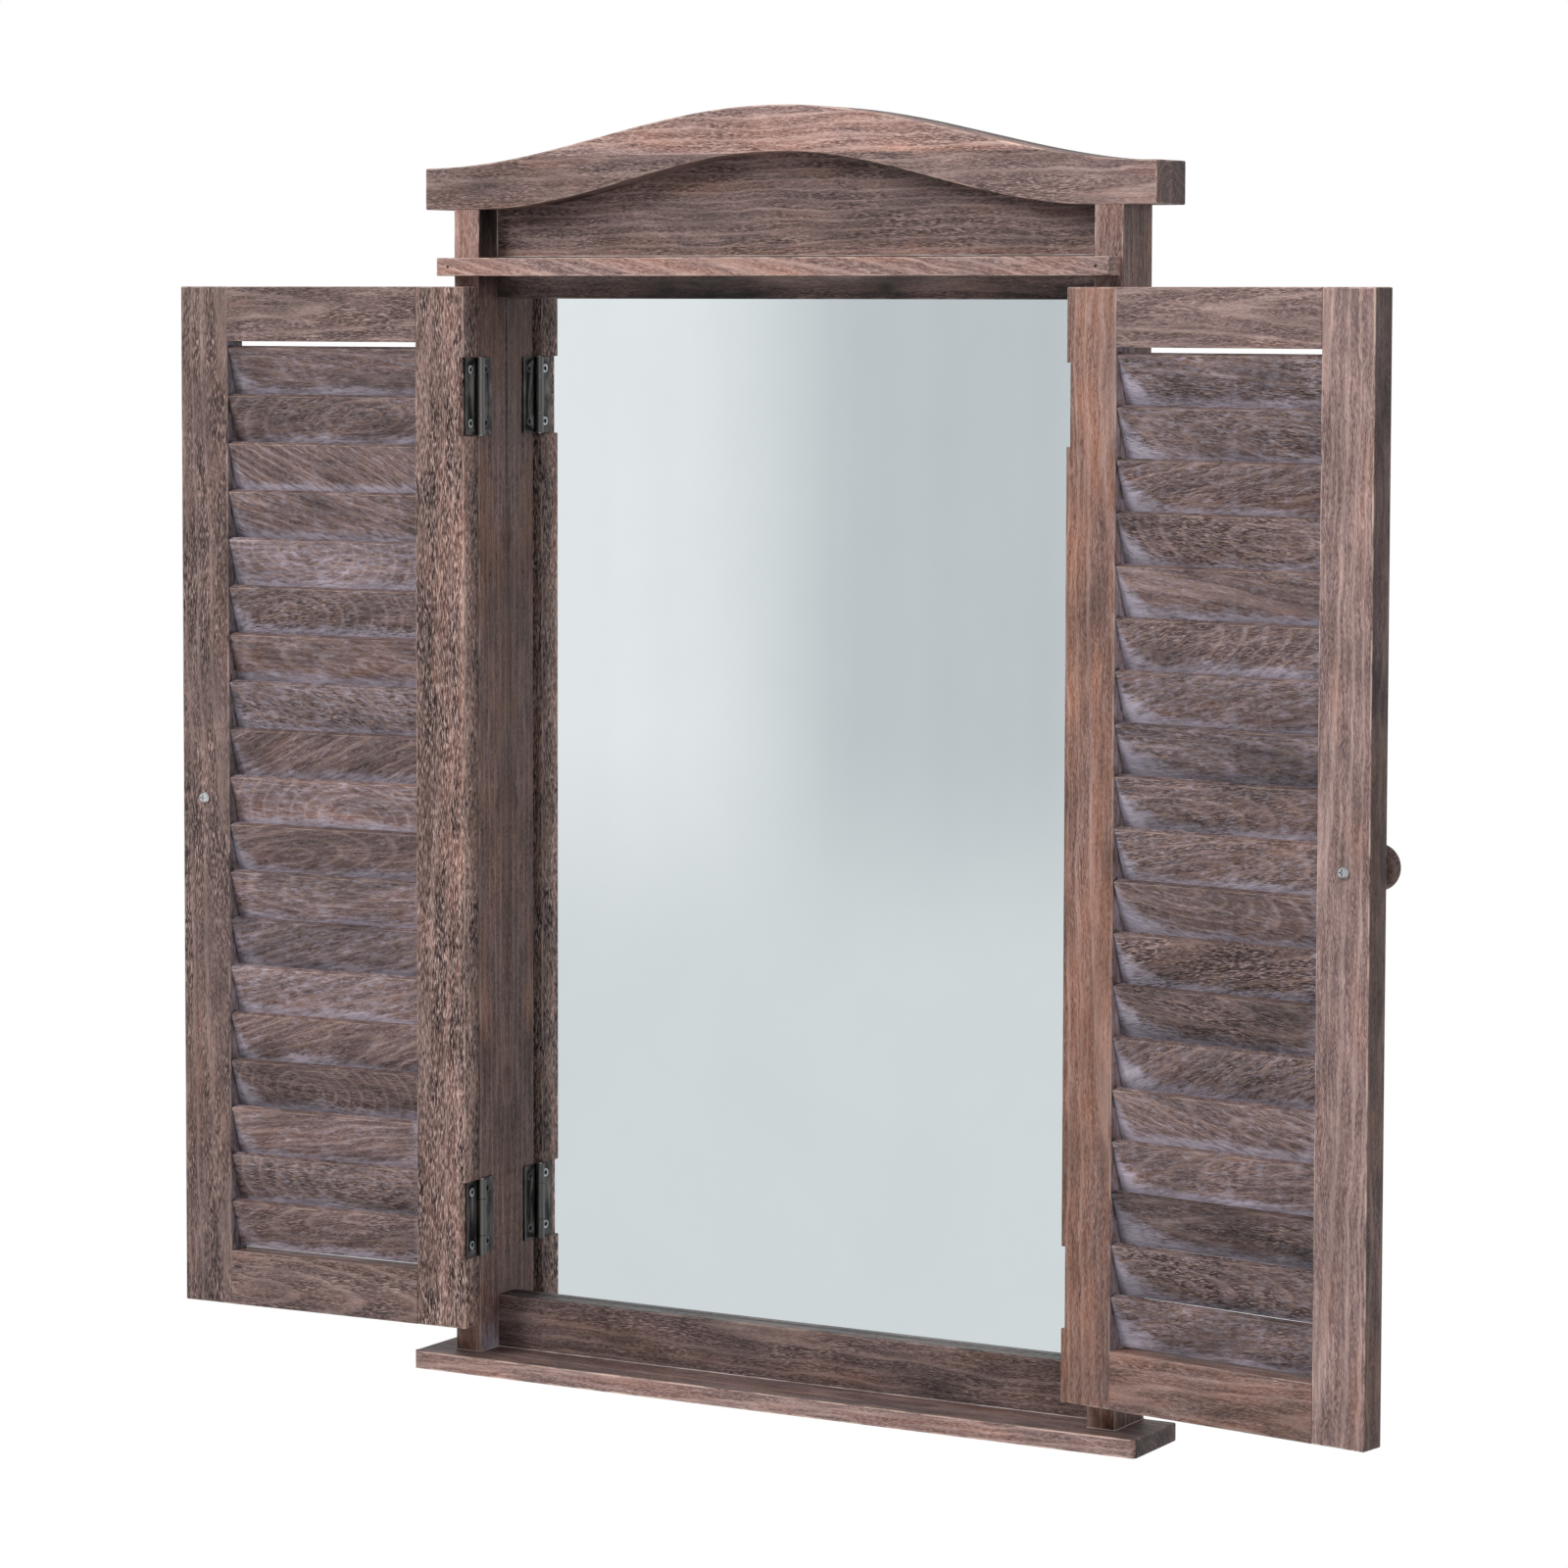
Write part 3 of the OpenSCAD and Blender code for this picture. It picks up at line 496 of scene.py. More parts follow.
def silvered_glass():
    """Mirror glass: silver behind a clear, faintly green sheet, with a thin film of dust."""
    material, w, shader = new_material("Silvered glass")
    dust = w.noise(w.place(), 5.0, 0.65, 9.0)
    tint = w.mix(w.step(dust, 0.3, 0.8), (0.83, 0.86, 0.86), (0.8, 0.835, 0.84))
    feed_shader(w, shader, tint, w.step(dust, 0.35, 0.8, 0.008, 0.022))
    shader.inputs["Metallic"].default_value = 1.0
    shader.inputs["Coat Weight"].default_value = 0.3
    shader.inputs["Coat Roughness"].default_value = 0.01
    return material


def hardboard():
    """Pressed brown fibre board."""
    material, w, shader = new_material("Hardboard")
    fibres = w.noise(w.place(), 6.0, 0.7, 420.0)
    blotches = w.noise(w.place(), 3.0, 0.5, 14.0)
    tone = w.mix(w.step(fibres, 0.35, 0.65), (0.23, 0.135, 0.075), (0.37, 0.24, 0.145))
    tone = w.mix(w.step(blotches, 0.4, 0.7, 0.0, 0.35), tone, (0.16, 0.1, 0.06))
    feed_shader(w, shader, tone, w.step(fibres, 0.3, 0.7, 0.75, 0.9), fibres, 0.15 * MM)
    return material


def pale_glue():
    """Dried glue and filler along a joint."""
    material, w, shader = new_material("Pale glue")
    lumps = w.noise(w.place(), 3.0, 0.6, 260.0)
    stained = w.noise(w.place(), 2.0, 0.5, 45.0)
    tone = w.mix(w.step(stained, 0.35, 0.65), (0.52, 0.44, 0.42), (0.3, 0.23, 0.21))
    feed_shader(w, shader, tone, w.step(lumps, 0.3, 0.7, 0.5, 0.75), lumps, 0.2 * MM)
    return material


# Meshes

def board_axes(along, across, out, turn=None):
    """Maps the row frame to a board's own axes: along its grain, across its face and out of it. A
    board that is turned with a shutter has its directions given in the shutter's own frame."""
    axes = Matrix((along, across, out)).to_4x4()
    return axes @ turn.inverted() if turn else axes


def shutter_place(side):
    """Maps a shutter's own frame to the row frame at rest. Its x runs from the pin to the free
    edge, its y from the outer face to the inner one, and its z up."""
    joint = JOINTS[f"{side}_shutter_hinge"]
    opening = math.radians(max(abs(limit) for limit in joint["range_deg"]))
    place = Matrix.Rotation(-opening, 4, "Z")
    if side == "right":
        place = Matrix.Scale(-1, 4, X_AXIS) @ place
    return Matrix.Translation(Vector((joint["pos_m"][0], joint["pos_m"][1], 0))) @ place


def node_mesh(node, flat=True):
    """A CAD node's mesh with shared corners, and with its flat faces made whole unless told not to."""
    bm = bmesh.new()
    bm.from_mesh(NODES[node].data)
    bmesh.ops.remove_doubles(bm, verts=bm.verts, dist=WELD)
    if flat:
        bmesh.ops.dissolve_limit(bm, angle_limit=FLAT, verts=bm.verts, edges=bm.edges)
    return bm


def facing(face, basis):
    """The direction of a face in the board's own frame."""
    return (basis.to_3x3() @ face.normal).normalized()


def body_planes(bm, basis):
    """The outer plane of the board on each of its six sides: the one with the most area."""
    areas = {}
    for face in bm.faces:
        normal = facing(face, basis)
        for axis in range(3):
            if abs(normal[axis]) > ALIGNED:
                place = round((basis @ face.calc_center_median())[axis], 5)
                area = areas.setdefault((axis, normal[axis] > 0), {})
                area[place] = area.get(place, 0.0) + face.calc_area()
    return {key: max(area, key=area.get) for key, area in areas.items()}


def face_side(face, basis, planes, curved):
    """The side of the board that a face is on, as (axis, sign), or None. On a curved board every
    face round its outline is on the lower or the upper side."""
    normal = facing(face, basis)
    for axis in (2, 0, 1):
        key = (axis, normal[axis] > 0)
        if curved and axis == 1 and abs(normal[2]) < OUTLINE:
            return key
        if abs(normal[axis]) > ALIGNED:
            place = (basis @ face.calc_center_median())[axis]
            return key if abs(place - planes.get(key, FAR)) < IN_PLANE else None
    return None


def ease_arrises(bm, basis, width, skip=(), curved=False):
    """Rounds the outer arrises of a board. Sides in skip are joints and stay sharp."""
    planes = body_planes(bm, basis)
    sides = {face: face_side(face, basis, planes, curved) for face in bm.faces}
    chosen = []
    for edge in bm.edges:
        if len(edge.link_faces) != 2 or edge.calc_length() < SHORTEST_ARRIS:
            continue
        pair = [sides[face] for face in edge.link_faces]
        if None in pair or pair[0] == pair[1] or any(side in skip for side in pair):
            continue
        if edge.calc_face_angle_signed(0) > ARRIS:
            chosen.append(edge)
    rounded = bmesh.ops.bevel(bm, geom=chosen, offset=width, offset_type="OFFSET", segments=3, profile=0.5,
                              affect="EDGES", clamp_overlap=False)
    for face in rounded["faces"]:
        face[bm.faces.layers.float["edge"]] = 1.0


def cut_board(bm, basis, axis, place):
    """Cuts a board right through at a place along one of its axes."""
    inverse = basis.inverted()
    point = Vector((0, 0, 0))
    point[axis] = place
    normal = Vector((0, 0, 0))
    normal[axis] = 1
    bmesh.ops.bisect_plane(bm, geom=bm.verts[:] + bm.edges[:] + bm.faces[:], dist=1e-6,
                           plane_co=inverse @ point, plane_no=inverse.to_3x3() @ normal)


def slice_board(bm, basis, axis, spacing):
    """Cuts a board across one of its axes, so that its faces can carry slow changes."""
    places = [(basis @ vert.co)[axis] for vert in bm.verts]
    low, high = min(places), max(places)
    count = int((high - low) / spacing)
    for index in range(1, count):
        cut_board(bm, basis, axis, low + (high - low) * index / count)


def wood_layers(bm):
    """The layers that the wood reads: each corner's place on the board, the heart of its rings, its
    wash, its seed and tone, and how coarse its face is."""
    verts, loops, faces = bm.verts.layers, bm.loops.layers, bm.faces.layers
    return (verts.float_vector.new("grain"), verts.float_vector.new("rings"), loops.float.new("wash"),
            loops.float_vector.new("board"), faces.float.new("coarse"))


def write_board(bm, basis, look):
    """Stores on the mesh what the wood material reads. The look gives a board's seed, its tone as
    warmth and shade, the heart of its rings, how coarse it is and the angle of its grain. A look
    with a seam is two planks glued edge to edge, the upper one with a tone of its own. Its change
    gives more warmth, shade and wash, from a place and a direction in the board's own frame."""
    grain, ring, washed, board, coarse = wood_layers(bm)
    places = {vert: basis @ vert.co for vert in bm.verts}
    middle = sum(places.values(), Vector()) / len(places)
    top = max(place[2] for place in places.values())
    turn = Matrix.Rotation(math.radians(look.get("skew", 0.0)), 3, "Z")
    for vert, place in places.items():
        vert[grain] = turn @ Vector((place[0] - middle[0], place[1] - middle[1], place[2] - top))
        vert[ring] = look["rings"]
    change = look.get("change", lambda place, normal: (0.0, 0.0, 0.0))
    for face in bm.faces:
        above = (basis @ face.calc_center_median())[1] > look.get("seam", FAR)
        tone = look["upper"] if above else look["tone"]
        seed = look["seed"] + (0.5 if above else 0.0)
        normal = facing(face, basis)
        face[coarse] = look["coarse"]
        for loop in face.loops:
            warmth, shade, wash = change(places[loop.vert], normal)
            loop[board] = (seed, tone[0] + warmth, tone[1] + shade)
            loop[washed] = wash


def skin(bm, rows):
    """Closes rows of corners into a solid, and gives its side faces with their place round a row."""
    sides = []
    for first, second in zip(rows, rows[1:]):
        for at in range(len(first)):
            after = (at + 1) % len(first)
            sides.append((at, bm.faces.new((first[at], first[after], second[after], second[at]))))
    bm.faces.new(rows[0][::-1])
    bm.faces.new(rows[-1])
    return sides


def finish_piece(name, bm, body, material, stands_for):
    """Turns a bmesh into a piece that rides on a body and stands for CAD nodes."""
    bmesh.ops.recalc_face_normals(bm, faces=bm.faces)
    mesh = bpy.data.meshes.new(name)
    bm.to_mesh(mesh)
    bm.free()
    piece = bpy.data.objects.new(name, mesh)
    bpy.context.scene.collection.objects.link(piece)
    mesh.materials.append(material)
    mesh.shade_smooth()
    mesh.set_sharp_from_angle(angle=CREASE)
    fair = piece.modifiers.new("Fair shading", "WEIGHTED_NORMAL")
    fair.keep_sharp = True
    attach(piece, body)
    if stands_for:
        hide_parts(*stands_for)
    return piece


def make_board(node, body, slot, basis, look, skip=(), curved=False, ease=None,
               spacings=(SLICE, None, None)):
    """A board with eased arrises that stands for a CAD node of the same shape."""
    bm = node_mesh(node)
    bm.faces.layers.float.new("edge")
    ease_arrises(bm, basis, ease or wood().ease, skip, curved)
    for axis, spacing in enumerate(spacings):
        if spacing:
            slice_board(bm, basis, axis, spacing)
    if "seam" in look:
        cut_board(bm, basis, 1, look["seam"])
    write_board(bm, basis, look)
    return finish_piece(f"{node}_wood", bm, body, brushed_wood(), [node])


# The frame's boards

LEVEL = board_axes(X_AXIS, Z_AXIS, FRONT)
UPRIGHT = board_axes(Z_AXIS, X_AXIS, FRONT)
START = (0, False)
END = (0, True)
BACK = (2, False)
FACE = (2, True)
LOWER = (1, False)
UPPER = (1, True)


def level_board(node, look, **more):
    """A board of the frame whose grain runs level."""
    make_board(node, "frame", "wood_level", LEVEL, look, **more)


def ramp(value, low, high):
    """How far a value has gone from low to high, from 0 to 1."""
    return max(0.0, min(1.0, (value - low) / (high - low)))


def post_change(inward):
    """Posts get painted shade on their sides. On the inner side it grows towards the top of the glass,
    where the header hides them, and is deepest above it. They are paler in front above the strip, and
    their fronts are lighter at the top than in the lower half: painted light from above. Grey wash is
    left on the inner side just above the sill."""
    glass_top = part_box("mirror_glass")[1].z
    strip_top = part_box("front_strip")[1].z
    sill_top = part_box("sill")[1].z

    def change(place, normal):
        if abs(normal.y) < TURNED:
            above = ramp(place.x, strip_top - 8 * MM, strip_top)
            # painted light from above: the front is lighter towards the top
            return 0.25, 0.14 - 0.2 * ramp(place.x, *POST_PAINTED_LIGHT) - 0.3 * above, 0.0
        # painted shade on the outer side
        if normal.y * inward < 0:
            return 0.0, 0.15, 0.0
        # painted shade on the inner side, growing towards the top of the glass, where the header hides it,
        # and deepest above it
        header_shade = ramp(place.x, glass_top - 90 * MM, glass_top - 5 * MM)
        above = ramp(place.x, glass_top - 2 * MM, glass_top + 8 * MM)
        wash = 0.75 * (1 - ramp(place.x, sill_top, sill_top + 40 * MM))
        return 0.2 - 0.4 * above, 0.15 + 0.33 * header_shade + 0.3 * above, wash

    return change


def build_posts():
    for index, side in enumerate(SIDES):
        look = dict(seed=1.0 + index, tone=(0.15, 0.0), rings=(6.0, -24.0, 0.01), coarse=0.4,
                    change=post_change(1 - 2 * index))
        make_board(f"{side}_post", "frame", "wood_upright", UPRIGHT, look, skip=(START, END))


def sill_change(place, normal):
    """The sill is pale in front, darker on top and darkest at its ends, which carry painted shade."""
    if normal.z > 0.5:
        return 0.1, -0.31, 0.0
    # painted shade on the ends
    return 0.0, 0.5 if abs(normal.x) > TURNED else 0.25, 0.0


def build_sill():
    level_board("sill", dict(seed=3.0, tone=(0.06, 0.0), rings=(-12.0, -22.0, 0.03), coarse=0.28,
                             change=sill_change))


def rail_change(place, normal):
    """The bottom rail is dark on top, where it meets the glass, and towards the sill."""
    if normal.y > 0.5:
        return 0.0, 0.35, 0.0
    return 0.0, 0.14 * (1 - ramp(place.y, *RAIL_FADE)), 0.0


def panel_change():
    """The panel is paler and warmer just above the strip, and has painted shade at its ends, in the corners
    by the posts.
    """
    low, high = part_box("pediment_panel")
    strip_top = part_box("front_strip")[1].z

    def change(place, normal):
        pale = 1 - ramp(place.y, strip_top + 2 * MM, strip_top + 11 * MM)
        # painted shade in the corners where the panel meets the posts
        dark = 1 - ramp(min(place.x - low.x, high.x - place.x), 4 * MM, 30 * MM)
        return 0.5 * pale, 0.12 * dark - 0.16 * pale, 0.0

    return change


def build_rails():
    look = dict(seed=4.0, tone=(0.05, 0.25), rings=(8.0, -14.0, 0.02), coarse=0.7, change=rail_change)
    level_board("bottom_rail", look, skip=(START, END, LOWER))
    # The header rail's deep shade is partly its stain and partly painted shade, as the strip above would
    # cast on it.
    look = dict(seed=5.0, tone=(0.0, 0.58), rings=(4.0, -20.0, 0.01), coarse=0.5)
    level_board("header_rail", look, skip=(START, END, UPPER))
    look = dict(seed=6.0, tone=(-0.05, 0.14), rings=(-40.0, -16.0, 0.03), coarse=0.7, change=panel_change())
    level_board("pediment_panel", look, skip=(START, END, UPPER), curved=True, ease=0.5 * MM,
                spacings=(SLICE, 4 * MM, None))


def crown_change():
    """The crown darkens towards its left end, and its ends are darker than its face: partly the end grain's
    deeper stain and partly painted shade.
    """
    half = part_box("crown_front_board")[1].x

    def change(place, normal):
        # darker end grain and painted shade on the ends
        end_stain_and_shade = 0.24 if abs(normal.x) > TURNED else 0.0
        return 0.12 * ramp(-place.x, 0.0, half), -0.02 - 0.15 * place.x / half + end_stain_and_shade, 0.0

    return change


def build_crown():
    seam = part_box("crown_front_board")[1].z - UPPER_PLANK
    look = dict(seed=7.0, tone=(0.0, 0.0), rings=(-20.0, -24.0, 0.02), coarse=0.55, seam=seam,
                upper=(0.2, -0.52), change=crown_change())
    level_board("crown_front_board", look, skip=(BACK,), curved=True)
    look = dict(seed=8.0, tone=(-0.3, 0.4), rings=(14.0, -30.0, 0.02), coarse=0.6)
    level_board("crown_back_board", look, skip=(FACE,), curved=True)


def build_strip():
    look = dict(seed=9.0, tone=(0.25, -0.44), rings=(0.0, -14.0, 0.02), skew=12.0, coarse=0.4)
    level_board("front_strip", look, skip=(BACK,), ease=0.6 * MM)


def bead(bm, start, end, out, up):
    """A thin bead of uneven swell in the corner between two faces, sunk a little into both."""
    steps = max(2, int((end - start).length / GLUE_STEP))
    rows = []
    for step in range(steps + 1):
        point = start.lerp(end, step / steps)
        swell = GLUE_BEAD * (0.75 + 0.5 * noise.noise(point * 160))
        rows.append([bm.verts.new(point - GLUE_SINK * out - GLUE_SINK * up),
                     bm.verts.new(point + swell * out - GLUE_SINK * up),
                     bm.verts.new(point + 0.45 * swell * out + 0.45 * swell * up),
                     bm.verts.new(point - GLUE_SINK * out + swell * up)])
    skin(bm, rows)


def build_glue():
    """Thin beads of dried glue where the posts and the bottom rail meet the sill, and round the
    panel under the arch."""
    rail_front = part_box("bottom_rail")[0].y
    panel_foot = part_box("pediment_panel")[0].z
    sill_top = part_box("sill")[1].z
    post_low, post_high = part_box("right_post")
    post_front = post_low.y
    bm = bmesh.new()
    for foot in (sill_top, panel_foot):
        bead(bm, Vector((-post_low.x, rail_front, foot)), Vector((post_low.x, rail_front, foot)), FRONT,
             Z_AXIS)
    for side in (-1, 1):
        inner, outer, away = side * post_low.x, side * post_high.x, side * X_AXIS
        for start, end, out, up in (
                ((inner, post_front, sill_top), (outer, post_front, sill_top), FRONT, Z_AXIS),
                ((outer, post_front, sill_top), (outer, 0, sill_top), away, Z_AXIS),
                ((inner, post_front, sill_top), (inner, rail_front, sill_top), -away, Z_AXIS),
                ((inner, rail_front, panel_foot), (inner, rail_front, panel_foot + GLUE_RISE), FRONT,
                 -away)):
            bead(bm, Vector(start), Vector(end), out, up)
    finish_piece("glue_beads", bm, "frame", pale_glue(), [])


# The shutters

SHUTTER_LOOKS = {
    "left_hinge_stile": dict(seed=20.0, tone=(0.5, 0.01), rings=(10.0, -18.0, 0.015), coarse=2.0,
                             near=(0.4, -0.26, 24.0), fall=0.0),
    "left_free_stile": dict(seed=21.0, tone=(0.05, 0.15), rings=(-9.0, -20.0, 0.02), coarse=1.1),
    "left_top_rail": dict(seed=22.0, tone=(0.0, 0.1), rings=(4.0, -15.0, 0.04), coarse=0.8),
    "left_bottom_rail": dict(seed=23.0, tone=(0.0, 0.14), rings=(-6.0, -12.0, 0.12), coarse=0.8),
    "right_hinge_stile": dict(seed=30.0, tone=(0.75, 0.02), rings=(10.0, -18.0, 0.015), coarse=0.35,
                              near=(0.2, 0.25, 5.0)),
    "right_free_stile": dict(seed=31.0, tone=(-0.1, -0.3), rings=(-9.0, -20.0, 0.02), coarse=0.3),
    "right_top_rail": dict(seed=32.0, tone=(-0.1, -0.12), rings=(4.0, -15.0, 0.04), coarse=0.5),
    "right_bottom_rail": dict(seed=33.0, tone=(0.5, 0.14), rings=(-6.0, -12.0, 0.05), coarse=0.5),
}


def stile_change(node, inward):
    """Stiles hold grey wash on the side that faces the slats. The outer edge of a free stile gets
    painted shade, as a side turned from the light. The hinge edge gets painted light at its front
    arris and painted shade towards its back, in the gap by the post, and stays darker above the
    upper hinge, with stain and painted shade there. The face beside it has a tone of its own: near
    gives its warmth, its shade and its width in millimetres. Faces get lighter from bottom to top by
    their light fall: painted light from above."""
    look = SHUTTER_LOOKS[node]
    warmth, shade, reach = look.get("near", (0.0, 0.0, 1.0))
    fall = look.get("fall", 0.11)
    hinge_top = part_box("left_upper_shutter_leaf")[1].z

    def change(place, normal):
        if abs(normal.y) < TURNED:
            beside = 1 - ramp(place.y, 1.5 * MM, reach * MM)
            # painted light from above: faces lighter towards the top
            painted_light = fall * (0.5 - ramp(place.x, *STILE_PAINTED_LIGHT))
            return warmth * beside, shade * beside + painted_light, 0.0
        if normal.y * inward > 0:
            return -0.1, 0.15, 0.54
        # painted shade on a free stile's outer edge, turned from the light
        if inward < 0:
            return 0.25, 0.38 - look["tone"][1], 0.0
        # painted light at the hinge edge's front arris, painted shade towards its back and above the upper
        # hinge
        front = ramp(place.z, 1 * MM, 14 * MM) * (1 - 0.7 * ramp(place.x, hinge_top, hinge_top + 8 * MM))
        return 0.3, 0.3 - 1.05 * front, 0.0

    return change


def build_stile(node, side, look):
    change = stile_change(node, 1 if "hinge" in node else -1)
    basis = board_axes(Z_AXIS, X_AXIS, Y_AXIS, shutter_place(side))
    make_board(node, f"{side}_shutter", "wood_upright", basis, {**look, "change": change},
               spacings=(SLICE, 5 * MM, 4 * MM))


def build_rail(node, side, look):
    basis = board_axes(X_AXIS, Z_AXIS, Y_AXIS, shutter_place(side))
    make_board(node, f"{side}_shutter", "wood_level", basis, look, skip=(START, END), ease=0.5 * MM)


def build_shutter_boards():
    for node, look in SHUTTER_LOOKS.items():
        build = build_stile if "stile" in node else build_rail
        build(node, node.split("_")[0], look)


def extent(places):
    """The lowest and the highest corner round some places."""
    low = Vector([min(place[axis] for place in places) for axis in range(3)])
    high = Vector([max(place[axis] for place in places) for axis in range(3)])
    return low, high


def islands(bm):
    """The separate solids of a mesh, each as a list of its corners."""
    left = dict.fromkeys(bm.verts)
    found = []
    while left:
        island = [left.popitem()[0]]
        for vert in island:
            for edge in vert.link_edges:
                other = edge.other_vert(vert)
                if other in left:
                    del left[other]
                    island.append(other)
        found.append(island)
    return found


def slat_middles(node, to_shutter):
    """The middles and lengths of a node's slats in the shutter's frame, from the top down."""
    bm = node_mesh(node, flat=False)
    slats = []
    for island in islands(bm):
        low, high = extent([to_shutter @ vert.co for vert in island])
        slats.append(((low + high) / 2, high[0] - low[0]))
    bm.free()
    return sorted(slats, key=lambda slat: -slat[0].z)


def slat_section(width, thickness, round_r=0.35 * MM, round_steps=2, flat_steps=8):
    """The rounded outline of a slat, as (across, out) pairs."""
    corners = [(1, 1), (-1, 1), (-1, -1), (1, -1)]
    outline = []
    for index, (across, out) in enumerate(corners):
        middle = Vector((across * (width / 2 - round_r), out * (thickness / 2 - round_r)))
        for step in range(round_steps + 1):
            turn = math.radians(90 * (index + step / round_steps))
            outline.append(middle + round_r * Vector((math.cos(turn), math.sin(turn))))
    full = []
    for index, point in enumerate(outline):
        after = outline[(index + 1) % len(outline)]
        full.append(point)
        if (after - point).length > width / 2:
            full += [point.lerp(after, cut / flat_steps) for cut in range(1, flat_steps)]
    return full


def slat_rows(section, span, chance, seed):
    """Rows of corners along a slat that is a little bowed, cupped and twisted. Each corner is its
    place on the straight slat, and its place on the shutter from the middle of the slat."""
    twist = math.radians(1.3 * chance[5])
    rows = []
    for cut in range(SLAT_CUTS + 1):
        along = (cut / SLAT_CUTS - 0.5) * span
        tilt = louvres().slat_tilt + twist * along / span
        bow = 0.3 * MM * chance[6] * (1 - (2 * along / span) ** 2)
        row = []
        for across, out in section:
            cup = out + bow + 0.2 * MM * noise.noise(Vector((along * 25, across * 60, seed)))
            tilted = Vector((along, across * math.sin(tilt) + cup * math.cos(tilt),
                             across * math.cos(tilt) - cup * math.sin(tilt)))
            row.append(((along, across, cup), tilted))
        rows.append(row)
    return rows


def slat_wash(along, across, span, side, chance):
    """How much pale wash is left at a place on a slat: along its lower edge, and in a wedge at the
    end on the left of each shutter as seen from in front, which the brush reached least."""
    width = louvres().slat_width
    low = across / width + 0.5
    from_left = span / 2 + (along if side == "right" else -along)
    from_right = span - from_left
    strength, most = (1.0, 1.0) if side == "right" else (0.45, 0.62 + chance[4])
    reach = (4.0 + strength * (32 + 34 * chance[1]) * (1 - low) ** 2) * MM
    wedge = min(1.1 - 0.5 * from_left / reach, most)
    far_reach = (0.5 + 13 * (1 - low) ** 2 + 8 * chance[2]) * MM + 4.5 * MM
    far_wedge = 0.85 - 0.5 * from_right / far_reach
    rise = (3.6 + 2.5 * chance[3] + 2.0 * noise.noise(Vector((along * 30, chance[0] * 40, 5.0)))) * MM
    band = 0.95 - 0.35 * low * width / max(rise, 0.4 * MM)
    film = 0.32 + 0.22 * chance[6]
    return max(0.0, min(1.0, max(wedge, far_wedge, min(band, 0.75), film)))


def build_slats_of(side):
    """Tilted slats, each with its own bend, tone, rings and wash. These come from eight chances
    between -1 and 1, which follow from the slat's seed."""
    place = shutter_place(side)
    section = slat_section(louvres().slat_width, louvres().slat_thickness)
    after = section[1:] + section[:1]
    on_corner = [(end - start).length < 1.2 * MM for start, end in zip(section, after)]
    bm = bmesh.new()
    grain, ring, washed, board, coarse = wood_layers(bm)
    edge = bm.faces.layers.float.new("edge")
    dark, open_pores, first_seed = (0.14, 0.5, 50.0) if side == "left" else (0.2, 0.8, 81.0)
    for index, (middle, span) in enumerate(slat_middles(f"{side}_slats", place.inverted())):
        seed = first_seed + index * 1.37
        chance = [noise.noise(Vector((seed * 3.1, 7.3 * draw, 1.7))) for draw in range(8)]
        tone = (seed, 0.5 * chance[0] - 0.1, dark + 0.42 * chance[1])
        rings = (20 * chance[2], -4.0 - 16 * abs(chance[3]), chance[4])
        lean = Matrix.Rotation(math.radians(42 * chance[7]), 3, "Z")
        rows = []
        wash = {}
        for row in slat_rows(section, span, chance, seed):
            rows.append([])
            for spot, tilted in row:
                vert = bm.verts.new(place @ (middle + tilted))
                vert[grain] = lean @ Vector(spot)
                vert[ring] = rings
                wash[vert] = slat_wash(spot[0], spot[1], span, side, chance)
                rows[-1].append(vert)
        for at, face in skin(bm, rows):
            face[edge] = 1.0 if on_corner[at] and section[at].x > 0 else 0.0
            face[coarse] = max(0.1, open_pores + 1.1 * chance[5])
        for vert, amount in wash.items():
            for loop in vert.link_loops:
                loop[board] = tone
                loop[washed] = amount
    finish_piece(f"{side}_slats_wood", bm, f"{side}_shutter", brushed_wood(),
                 [f"{side}_slats"])


def build_knobs():
    for index, side in enumerate(SIDES):
        bm = node_mesh(f"{side}_knob", flat=False)
        look = dict(seed=90.0 + index, tone=(0.0, 0.45), rings=(3.0, -14.0, 0.0), coarse=0.6)
        write_board(bm, board_axes(Y_AXIS, X_AXIS, Z_AXIS, shutter_place(side)), look)
        finish_piece(f"{side}_knob_wood", bm, f"{side}_shutter", brushed_wood(),
                     [f"{side}_knob"])


# Glass and metal

def round_edges(thing, width):
    rounding = thing.modifiers.new("Eased edges", "BEVEL")
    rounding.width = width
    rounding.segments = 2
    rounding.limit_method = "ANGLE"
    rounding.angle_limit = ARRIS


def dress_node(node, material, ease=0.0):
    """Gives a CAD node its finish, and rounds its sharp edges a little."""
    thing = NODES[node]
    thing.data.materials.clear()
    thing.data.materials.append(material)
    if ease:
        round_edges(thing, ease)


def build_glass():
    dress_node("mirror_glass", silvered_glass())
    dress_node("backing_board", hardboard())


def rubbed_and_highlighted_leaf(node, body, side):
    """A hinge leaf, rubbed bright on its knuckles, which also serves as a painted highlight there."""
    pin = Vector(JOINTS[f"{side}_shutter_hinge"]["pos_m"])
    bm = node_mesh(node)
    polish = bm.loops.layers.float.new("polish")
    for face in bm.faces:
        # the knuckle is marked as rubbed metal that also serves as a painted highlight
        on_barrel = all(math.hypot(vert.co.x - pin.x, vert.co.y - pin.y) < BARREL for vert in face.verts)
        for loop in face.loops:
            loop[polish] = 1.0 if on_barrel else 0.0
    leaf = finish_piece(f"{node}_metal", bm, body, dark_metal(), [node])
    round_edges(leaf, 0.15 * MM)


def build_hinges():
    for side in SIDES:
        for level in ("upper", "lower"):
            rubbed_and_highlighted_leaf(f"{side}_{level}_post_leaf", "frame", side)
            rubbed_and_highlighted_leaf(f"{side}_{level}_shutter_leaf", f"{side}_shutter", side)
            dress_node(f"{side}_{level}_pin", zinc())


